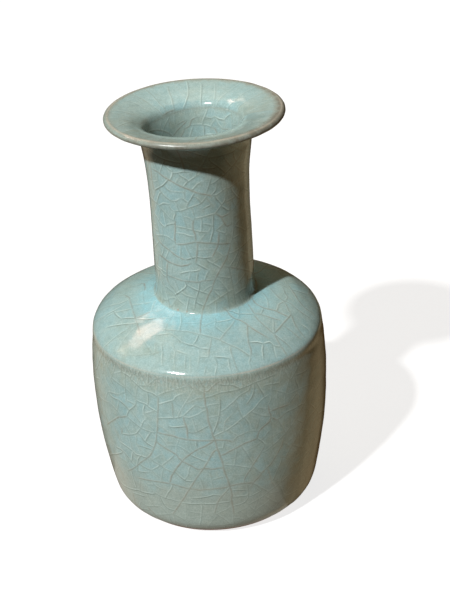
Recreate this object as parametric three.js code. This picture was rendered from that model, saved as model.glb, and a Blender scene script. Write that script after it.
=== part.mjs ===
// Bottle vase of the mallet type: drum body, domed shoulder, straight neck and a
// wide dish mouth. Millimetres, +Z up, origin on the axis at the foot.
//
// The vase is thrown in sections (body wall, floor, shoulder, neck, mouth, foot
// ring), which are luted together with slip on scored V-shaped edges and then
// coated with glaze inside and out. Every section, slip joint and glaze coat is a
// solid of revolution of its own.

import * as THREE from 'three';

// ---------------------------------------------------------------- dimensions
const HEIGHT = 225.0;            // foot to lip crest
const SEGMENTS = 32;             // facets round the axis, shared by all pieces
const GLAZE_OUT = 0.7;           // thickness of the outer glaze coat
const GLAZE_IN = 0.6;            // thickness of the inner glaze coat
const GAP = 0.12;                // clearance between neighbouring solids
const SLIP = 0.7;                // thickness of a slip joint
const VEE = 1.6;                 // height of the V cut into a luted edge

const LIP_R = 46.1;              // largest radius of the mouth
const LIP_CREST_R = 43.5;        // radius of the lip's crest
const LIP_BAND = 2.5;            // height of the lip's bevelled band
const BORE_R = 20.9;             // bore of the neck, glaze surface
const FOOT_R_OUT = 46.6;         // standing face of the foot ring
const FOOT_R_IN = 41.0;
const FOOT_RECESS = 3.2;         // height of the recess inside the foot ring
const FLOOR_TOP = 9.0;           // glaze surface of the floor inside

const Z_SEAM_BASE = 21.5;        // floor to wall
const Z_SEAM_SHOULDER = 102.3;   // wall to shoulder
const Z_SEAM_NECK = 128.6;       // shoulder to neck
const Z_SEAM_MOUTH = 209.0;      // neck to mouth

// Outer glaze surface from the lip's crest down to the glaze edge at the foot.
const OUTER = [
  [LIP_CREST_R, HEIGHT],
  [44.75, HEIGHT - 0.4],
  [45.5, HEIGHT - 1.5],
  [LIP_R, HEIGHT - LIP_BAND],
  [45.3, HEIGHT - LIP_BAND - 0.6],
  [42.5, 221.2],
  [33.0, 218.4],
  [29.6, 215.0],
  [28.0, 207.5],
  [26.4, 191.0],
  [25.85, 174.3],
  [26.2, 133.0],
  [26.6, 126.2],
  [27.9, 122.7],
  [30.0, 121.3],
  [43.2, 117.5],
  [49.5, 115.0],
  [55.9, 111.1],
  [60.0, 107.4],
  [61.5, 105.7],
  [62.0, 104.0],
  [62.05, 100.2],
  [63.2, 89.6],
  [63.72, 79.9],
  [63.4, 62.0],
  [61.6, 39.0],
  [58.6, 21.0],
  [55.9, 9.1],
  [50.9, 2.7],
];

// Inner glaze surface from the lip's crest down the bore to the floor's centre.
const INNER = [
  [LIP_CREST_R, HEIGHT],
  [42.2, 224.75],
  [36.0, 223.5],
  [31.2, 221.7],
  [28.7, 220.2],
  [27.1, 218.4],
  [26.0, 215.8],
  [24.6, 211.0],
  [23.0, 203.0],
  [21.6, 194.0],
  [BORE_R, 184.0],
  [BORE_R, 174.0],
  [21.3, 126.0],
  [23.4, 117.4],
  [43.0, 112.3],
  [51.0, 108.6],
  [55.4, 103.0],
  [56.8, 97.5],
  [58.7, 79.9],
  [58.4, 62.0],
  [56.6, 39.0],
  [53.6, 23.0],
  [50.0, 14.4],
  [43.0, 10.2],
  [0, FLOOR_TOP],
];

// ------------------------------------------------------------------- helpers
// Offsets an open polyline by d to the left of its direction, with mitred corners.
function offset(poly, d) {
  const n = poly.length;
  const dir = [];
  for (let i = 0; i < n - 1; i++) {
    const dx = poly[i + 1][0] - poly[i][0];
    const dy = poly[i + 1][1] - poly[i][1];
    const l = Math.hypot(dx, dy);
    dir.push([dx / l, dy / l]);
  }
  return poly.map((p, i) => {
    const a = dir[Math.max(0, i - 1)];
    const b = dir[Math.min(n - 2, i)];
    let mx = -(a[1] + b[1]);
    let my = a[0] + b[0];
    const l = Math.hypot(mx, my);
    mx /= l;
    my /= l;
    const c = Math.max(0.5, mx * -a[1] + my * a[0]);
    return [p[0] + (mx * d) / c, p[1] + (my * d) / c];
  });
}

// The point of a downward-running wall line at a height.
function at(poly, z) {
  for (let i = 0; i < poly.length - 1; i++) {
    const [r0, z0] = poly[i];
    const [r1, z1] = poly[i + 1];
    if (z0 >= z && z1 < z) return [r0 + ((r1 - r0) * (z0 - z)) / (z0 - z1), z];
  }
  throw new Error(`no wall at height ${z}`);
}

// The points of a wall line strictly between two heights.
function within(poly, zTop, zBottom) {
  return poly.filter((p) => p[1] < zTop - 0.4 && p[1] > zBottom + 0.4);
}

// The part of a wall line between two heights, with its two end points.
function between(poly, zTop, zBottom) {
  return [at(poly, zTop), ...within(poly, zTop, zBottom), at(poly, zBottom)];
}

// A solid of revolution from an (r, z) outline.
function turned(name, outline, color, roughness) {
  let area = 0;
  const onAxis = outline[0][0] === 0;
  const loop = onAxis ? outline : [...outline, outline[0]];
  for (let i = 0; i < loop.length; i++) {
    const [r0, z0] = loop[i];
    const [r1, z1] = loop[(i + 1) % loop.length];
    area += r0 * z1 - r1 * z0;
  }
  const ordered = area > 0 ? loop : [...loop].reverse();
  const geometry = new THREE.LatheGeometry(
    ordered.map(([r, z]) => new THREE.Vector2(r, z)),
    SEGMENTS,
  );
  geometry.rotateX(Math.PI / 2);
  const material = new THREE.MeshStandardMaterial({ color, roughness, metalness: 0 });
  const mesh = new THREE.Mesh(geometry, material);
  mesh.name = name;
  return mesh;
}

// ------------------------------------------------------------- derived lines
// The clay lies inside both glaze coats. OUTER runs downwards with the clay on its
// right-hand side in (r, z), INNER runs downwards with the clay on its left.
const clayOut = offset(OUTER, -(GLAZE_OUT + GAP));
const clayIn = offset(INNER, GLAZE_IN + GAP);

// A luted edge: both sections are cut to a V across the wall, with the slip between
// them. edge() gives the V's points from the outside to the inside at height z.
const HALF = SLIP / 2 + GAP;
function edge(z) {
  const ro = at(clayOut, z)[0];
  const ri = at(clayIn, z)[0];
  return { ro, ri, rm: (ro + ri) / 2 };
}
function veeTop(z) {
  // lower edge of the section above the joint
  const { ro, ri, rm } = edge(z + HALF);
  return [[ro, z + HALF], [rm, z + HALF + VEE], [ri, z + HALF]];
}
function veeBottom(z) {
  // upper edge of the section below the joint
  const { ro, ri, rm } = edge(z - HALF);
  return [[ri, z - HALF], [rm, z - HALF + VEE], [ro, z - HALF]];
}
function slipRing(z) {
  const h = SLIP / 2;
  const top = edge(z + h);
  const low = edge(z - h);
  return [
    [top.ro, z + h],
    [top.rm, z + h + VEE],
    [top.ri, z + h],
    [low.ri, z - h],
    [low.rm, z - h + VEE],
    [low.ro, z - h],
  ];
}
const inner = (pts) => pts.slice(1, -1);

// A wall section between two joints.
function section(zTop, zBottom) {
  const out = between(clayOut, zTop - HALF, zBottom + HALF);
  const back = between(clayIn, zTop - HALF, zBottom + HALF).reverse();
  return [
    ...out,
    ...inner(veeTop(zBottom)),
    ...back,
    ...inner(veeBottom(zTop)),
  ];
}

// -------------------------------------------------------------------- pieces
const CLAY = 0x8a6a4e;
const SLIP_CLAY = 0x977a5e;
const GLAZE = 0x9fbfb8;

const vase = new THREE.Group();

// Foot ring: low turned ring with a chamfered standing edge.
const RING_TOP = 3.4;
vase.add(turned('foot_ring', [
  [FOOT_R_IN + 0.7, 0],
  [FOOT_R_OUT, 0],
  [FOOT_R_OUT + 0.9, 0.7],
  [49.7, 2.3],
  [49.5, RING_TOP],
  [FOOT_R_IN, RING_TOP],
  [FOOT_R_IN, 0.7],
], CLAY, 0.9));

// Slip bed between the foot ring and the floor.
const BED_LOW = RING_TOP + GAP;
const BED_TOP = BED_LOW + 0.5;
vase.add(turned('seam_foot', [
  [FOOT_R_IN, BED_LOW],
  [49.5, BED_LOW],
  [50.2, BED_TOP],
  [FOOT_R_IN, BED_TOP],
], SLIP_CLAY, 0.9));

// Floor: a shallow dish whose upturned edge carries the wall.
const DISC_LOW = BED_TOP + GAP;
const DISC_TOP = Z_SEAM_BASE - HALF;
vase.add(turned('base_disc', [
  [0, DISC_LOW],
  [at(clayOut, DISC_LOW)[0], DISC_LOW],
  ...within(clayOut, DISC_TOP, DISC_LOW).reverse(),
  ...veeBottom(Z_SEAM_BASE).reverse(),
  ...within(clayIn, DISC_TOP, 0).filter((p) => p[0] > 0),
  [0, FLOOR_TOP - GLAZE_IN - GAP],
], CLAY, 0.9));

vase.add(turned('seam_base', slipRing(Z_SEAM_BASE), SLIP_CLAY, 0.9));
vase.add(turned('body_wall', section(Z_SEAM_SHOULDER, Z_SEAM_BASE), CLAY, 0.9));
vase.add(turned('seam_shoulder', slipRing(Z_SEAM_SHOULDER), SLIP_CLAY, 0.9));
vase.add(turned('shoulder', section(Z_SEAM_NECK, Z_SEAM_SHOULDER), CLAY, 0.9));
vase.add(turned('seam_neck', slipRing(Z_SEAM_NECK), SLIP_CLAY, 0.9));
vase.add(turned('neck_tube', section(Z_SEAM_MOUTH, Z_SEAM_NECK), CLAY, 0.9));
vase.add(turned('seam_mouth', slipRing(Z_SEAM_MOUTH), SLIP_CLAY, 0.9));

// Mouth: from the joint up the flare, out to the lip and back over the dish.
const lipOut = within(clayOut, HEIGHT + 1, Z_SEAM_MOUTH + HALF).slice(1);
const lipIn = within(clayIn, HEIGHT + 1, Z_SEAM_MOUTH + HALF).slice(1);
const core = [LIP_CREST_R, HEIGHT - GLAZE_OUT - GAP];
vase.add(turned('mouth_flange', [
  core,
  ...lipOut,
  ...veeTop(Z_SEAM_MOUTH),
  ...lipIn.reverse(),
], CLAY, 0.9));

// Glaze coats. They meet at the lip's crest with a fine clearance.
const coatOut = OUTER.map((p) => [...p]);
const coatOutBack = offset(OUTER, -GLAZE_OUT);
coatOut[0] = [LIP_CREST_R + GAP, HEIGHT];
coatOutBack[0] = [LIP_CREST_R + GAP, HEIGHT - GLAZE_OUT];
vase.add(turned('glaze_outside', [...coatOut, ...coatOutBack.reverse()], GLAZE, 0.2));

const coatIn = INNER.map((p) => [...p]);
const coatInBack = offset(INNER, GLAZE_IN);
coatIn[0] = [LIP_CREST_R - GAP, HEIGHT];
coatInBack[0] = [LIP_CREST_R - GAP, HEIGHT - GLAZE_OUT];
coatInBack[coatInBack.length - 1] = [0, FLOOR_TOP - GLAZE_IN];
vase.add(turned('glaze_inside', [
  [0, FLOOR_TOP - GLAZE_IN],
  ...coatInBack.slice(0, -1).reverse(),
  ...coatIn,
], GLAZE, 0.2));

// Glaze patch in the recess under the floor.
vase.add(turned('glaze_underside', [
  [0, FOOT_RECESS],
  [FOOT_R_IN - 1.2, FOOT_RECESS],
  [FOOT_R_IN - 0.6, DISC_LOW - GAP - 0.1],
  [FOOT_R_IN - 0.9, DISC_LOW - GAP],
  [0, DISC_LOW - GAP],
], GLAZE, 0.25));

export default vase;
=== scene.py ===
import math
import bpy
import numpy as np
from mathutils import Matrix, Vector
from mathutils.geometry import delaunay_2d_cdt


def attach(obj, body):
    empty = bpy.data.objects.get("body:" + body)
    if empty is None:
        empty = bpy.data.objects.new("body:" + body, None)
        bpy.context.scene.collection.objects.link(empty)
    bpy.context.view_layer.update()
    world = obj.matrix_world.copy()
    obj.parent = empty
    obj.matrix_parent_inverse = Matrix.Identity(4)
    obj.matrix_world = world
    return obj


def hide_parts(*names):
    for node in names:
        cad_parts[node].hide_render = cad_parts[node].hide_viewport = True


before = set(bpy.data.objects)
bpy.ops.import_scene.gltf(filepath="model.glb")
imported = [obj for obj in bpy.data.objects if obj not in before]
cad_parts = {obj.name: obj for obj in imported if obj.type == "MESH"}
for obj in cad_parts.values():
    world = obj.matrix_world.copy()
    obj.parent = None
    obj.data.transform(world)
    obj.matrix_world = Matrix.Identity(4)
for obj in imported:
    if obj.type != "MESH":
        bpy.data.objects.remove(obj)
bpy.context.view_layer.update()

rng = np.random.default_rng(20417)
TAU = 2 * math.pi
CUT = -1.5 * math.pi      # the wall is unrolled with its cut at the back: angles run from -270 to 90 degrees

# ---------------------------------------------------------------- profile, mm
# (r, z) from inside the bore over the dish and the lip, down the neck and the body to the glaze edge at the foot
MOUTH = [(20.9, 178.0), (20.9, 190.0), (20.95, 201.0), (21.1, 207.5), (21.5, 212.5), (22.1, 215.6), (22.4, 216.8),
         (22.75, 218.1), (23.45, 219.35), (24.6, 220.4), (26.2, 221.15), (28.2, 221.9), (32.0, 223.05), (36.0, 223.95),
         (40.0, 224.65), (42.4, 225.0),
         (43.75, 225.1), (44.7, 225.0), (45.35, 224.65), (45.78, 224.1), (45.95, 223.5), (45.9, 222.92),
         (45.65, 222.47), (45.2, 222.13), (44.6, 221.88), (43.7, 221.6), (42.5, 221.25)]
NECK = [(38.0, 220.0), (32.8, 218.3), (29.9, 215.6), (28.6, 211.4), (28.1, 207.1), (27.3, 201.3), (26.52, 193.6),
        (26.07, 184.0), (25.85, 174.3), (25.93, 164.7), (26.06, 155.1), (26.19, 145.4), (26.22, 138.0)]
# the shoulder sagged a little on the side that faces the camera, where its edge is sharper
BACK = [(26.3, 132.0), (26.5, 127.3), (27.4, 124.9), (29.6, 123.55), (35.06, 121.94), (43.89, 120.01), (49.66, 118.31),
        (53.32, 116.16), (56.10, 114.13), (58.24, 112.11), (59.98, 110.01), (61.28, 107.25), (61.83, 104.07)]
FRONT = [(26.3, 131.4), (26.4, 125.6), (27.05, 122.75), (29.1, 121.55), (34.6, 120.0), (43.2, 117.55), (48.9, 115.25),
         (52.8, 113.15), (55.9, 111.1), (58.3, 109.2), (60.15, 107.55), (61.6, 105.8), (62.15, 103.8)]
BODY = [(62.2, 100.66), (62.7, 96.34), (63.19, 89.59), (63.72, 79.92), (63.61, 68.33), (63.16, 56.73),
        (62.26, 45.14), (60.73, 33.55), (59.15, 23.90), (57.55, 15.15), (55.93, 9.13), (53.40, 4.99), (50.9, 2.7)]


def spline(pts, n=40):
    p = np.array(pts, float)
    p = np.vstack([2 * p[0] - p[1], p, 2 * p[-1] - p[-2]])
    out = []
    for i in range(1, len(p) - 2):
        a, b, c, d = p[i - 1], p[i], p[i + 1], p[i + 2]
        t1 = np.hypot(*(b - a)) ** 0.5
        t2 = t1 + np.hypot(*(c - b)) ** 0.5
        t3 = t2 + np.hypot(*(d - c)) ** 0.5
        t = np.linspace(t1, t2, n, endpoint=False)[:, None]
        a1 = (t1 - t) / t1 * a + t / t1 * b
        a2 = (t2 - t) / (t2 - t1) * b + (t - t1) / (t2 - t1) * c
        a3 = (t3 - t) / (t3 - t2) * c + (t - t2) / (t3 - t2) * d
        b1 = (t2 - t) / t2 * a1 + t / t2 * a2
        b2 = (t3 - t) / (t3 - t1) * a2 + (t - t1) / (t3 - t1) * a3
        out.append((t2 - t) / (t2 - t1) * b1 + (t - t1) / (t2 - t1) * b2)
    out.append(p[-2][None])
    return np.vstack(out)


def resample(p, h):
    d = np.concatenate([[0], np.cumsum(np.hypot(*np.diff(p, axis=0).T))])
    t = np.linspace(0, d[-1], int(round(d[-1] / h)) + 1)
    return np.stack([np.interp(t, d, p[:, 0]), np.interp(t, d, p[:, 1])], -1)


def profiles(h=0.1, sigma=0.4):
    """Lengths, radii and heights of the back's profile, and the way from it to the front's."""
    b, f = spline(MOUTH + NECK + BACK + BODY), spline(MOUTH + NECK + FRONT + BODY)
    d = np.concatenate([[0], np.cumsum(np.hypot(*np.diff(b, axis=0).T))])
    t = np.linspace(0, d[-1], int(round(d[-1] / h)) + 1)
    q = np.stack([np.interp(t, d, a) for a in (b[:, 0], b[:, 1], f[:, 0], f[:, 1])], -1)
    k = int(4 * sigma / h)
    w = np.exp(-0.5 * (np.arange(-k, k + 1) * h / sigma) ** 2)
    w /= w.sum()
    q = np.pad(q, ((k, k), (0, 0)), mode="reflect", reflect_type="odd")
    q = np.stack([np.convolve(q[:, i], w, "valid") for i in range(4)], -1)
    s = np.concatenate([[0], np.cumsum(np.hypot(*np.diff(q[:, :2], axis=0).T))])
    return s, q[:, 0], q[:, 1], q[:, 2] - q[:, 0], q[:, 3] - q[:, 1]


S, R, Z, DR, DZ = profiles()
R1, Z1, DR1, DZ1 = (np.gradient(a, S) for a in (R, Z, DR, DZ))
NR, NZ = -Z1, R1
S_END = float(S[-1])
I_LIP = int(np.argmax(Z))
S_LIP = float(S[I_LIP])


def r_at(s):
    return np.interp(s, S, R)


def s_out(z):
    """Profile length at a height on the outside."""
    return float(np.interp(-z, -Z[I_LIP:], S[I_LIP:]))


def s_in(z):
    """Profile length at a height in the mouth."""
    return float(np.interp(z, Z[:I_LIP], S[:I_LIP]))


def smooth(a, b, x):
    t = np.clip((np.asarray(x, float) - a) / (b - a), 0, 1)
    return t * t * (3 - 2 * t)


# soft unevenness of a hand-thrown wall, as a sum of waves: height in mm and its gradient
WK = rng.normal(0, 1, (14, 3))
WK /= np.linalg.norm(WK, axis=1)[:, None]
WK *= TAU / rng.uniform(16, 46, 14)[:, None]
WK[:, 2] *= 1.5
WP = rng.uniform(0, TAU, 14)
WA = 0.012 * rng.uniform(0.5, 1.3, 14)
FK = rng.normal(0, 1, (18, 3))                 # and the slight swell of the glaze between its lines
FK *= TAU / rng.uniform(6.5, 12, 18)[:, None] / np.linalg.norm(FK, axis=1)[:, None]
WK, WP, WA = np.vstack([WK, FK]), np.concatenate([WP, rng.uniform(0, TAU, 18)]), np.concatenate([WA, 0.0112 * rng.uniform(0.5, 1.3, 18)])


def wobble(p):
    a = p @ WK.T + WP
    return np.sin(a) @ WA, (np.cos(a) * WA) @ WK


S_EDGE = s_in(216.8)             # edge between the funnel and the bore, thrown a little off the centre
SHIFT = np.array([1.4, 0.8])


def sagged(t):
    """1 at the front, 0 at the back, and its slope."""
    a = (np.asarray(t, float) + 0.5 * math.pi + math.pi) % TAU - math.pi
    u = np.clip((np.abs(a) - math.radians(40)) / math.radians(75), 0, 1)
    return 1 - u * u * (3 - 2 * u), -np.sign(a) * 6 * u * (1 - u) / math.radians(75)


OVAL, OVAL_AT = 0.025, math.radians(-115)      # the neck is slightly oval, as hand-thrown necks are
OV = smooth(s_out(207), s_out(188), S) * (1 - smooth(s_out(146), s_out(127), S))
OV1 = np.gradient(OV, S)


# the throat is wider on one side: height on the profile and mm outwards
WIDER = [(184, 0), (190, 0.3), (201, 1.9), (207.5, 3.3), (212.5, 4.2), (216.8, 4.8), (219.35, 4.5), (220.4, 4.1), (221.15, 3.25),
         (221.9, 2.3), (223.05, 0.8), (223.95, 0.1), (224.6, 0)]
WIDER_AT, WIDER_SPAN = math.radians(197), math.radians(72)
DB = np.interp(S, [s_in(z) for z, _ in WIDER], [w for _, w in WIDER]) * (S < S_LIP)
DB = np.convolve(np.pad(DB, 12, mode="edge"), np.ones(25) / 25, "valid")
DB1 = np.gradient(DB, S)


def widened(t):
    a = (np.asarray(t, float) - WIDER_AT + math.pi) % TAU - math.pi
    u = np.clip(np.abs(a) / WIDER_SPAN, 0, 1)
    return 1 - u * u * (3 - 2 * u), -np.sign(a) * 6 * u * (1 - u) / WIDER_SPAN


def surface(t, s, inset=0.0):
    """Points (mm) and normals on the outer face of the glaze at angle t and profile length s."""
    t = np.asarray(t, float)
    s = np.asarray(s, float)
    r, z, r1, z1, dr, dz, dr1, dz1 = (np.interp(s, S, a) for a in (R, Z, R1, Z1, DR, DZ, DR1, DZ1))
    w, w1 = sagged(t)
    e = smooth(S_EDGE - 24, S_EDGE - 3, s) * (1 - smooth(S_EDGE + 3, S_EDGE + 17, s))
    c, d = np.cos(t), np.sin(t)
    r, z = r + w * dr + SHIFT[0] * e * c, z + w * dz + SHIFT[1] * e * c
    ov, ov1 = np.interp(s, S, OV), np.interp(s, S, OV1)
    q = OVAL * (np.cos(2 * (t - OVAL_AT)) + 0.64)
    a, b = (r1 + w * dr1) * (1 + ov * q) + r * ov1 * q, z1 + w * dz1     # along the profile
    f, g = w1 * dr - SHIFT[0] * e * d, w1 * dz - SHIFT[1] * e * d        # round the axis
    f = f - 2 * OVAL * np.sin(2 * (t - OVAL_AT)) * ov * r
    r = r * (1 + ov * q)
    (k, k1), db = widened(t), np.interp(s, S, DB)
    r, a, f = r + db * k, a + np.interp(s, S, DB1) * k, f + db * k1
    nr, nt, nz = -b, (b * f - a * g) / r, a
    m = np.sqrt(nr * nr + nt * nt + nz * nz)
    nr, nt, nz = nr / m, nt / m, nz / m
    n = np.stack([nr * c - nt * d, nr * d + nt * c, nz], -1)
    p = np.stack([r * c, r * d, z], -1)
    h, g = wobble(p)
    p = p + n * (h - inset)[:, None]
    n = n - (g - (g * n).sum(1)[:, None] * n)
    n /= np.linalg.norm(n, axis=1)[:, None]
    return leaned(p), n


def leaned(p):
    """The neck leans a little and the mouth isn't quite level, as thrown."""
    x, y, z = p[:, 0], p[:, 1], p[:, 2]
    w = smooth(118, 132, z)
    return np.stack([x + (0.2 - 0.7 * (z - 130) / 93) * w, y - 0.5 * (z - 118) / 105 * w,
                     z + smooth(188, 222, z) * (0.007 * y + 0.010 * x)], -1)


# ---------------------------------------------------------------- camera
C = np.array([0, -713.08, 494.75])
AIM = np.array([10.131, 0, 115.616])
fwd = (AIM - C) / np.linalg.norm(AIM - C)
side = np.cross(fwd, [0, 0, 1.0])
side /= np.linalg.norm(side)
head = np.cross(side, fwd)
ROLL = -0.051
RIGHT = math.cos(ROLL) * side + math.sin(ROLL) * head
UP = -math.sin(ROLL) * side + math.cos(ROLL) * head
cam = bpy.data.objects.new("camera", bpy.data.cameras.new("camera"))
cam.data.sensor_width = 36.0
cam.data.sensor_fit = "AUTO"
cam.data.lens = 90.368
cam.data.clip_start = 0.01
cam.data.clip_end = 20.0
m = Matrix.Identity(4)
for i, v in enumerate((RIGHT, UP, -fwd)):
    for k in range(3):
        m[k][i] = v[k]
for k in range(3):
    m[k][3] = C[k] * 0.001
cam.matrix_world = m
bpy.context.scene.collection.objects.link(cam)
bpy.context.scene.camera = cam

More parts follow.
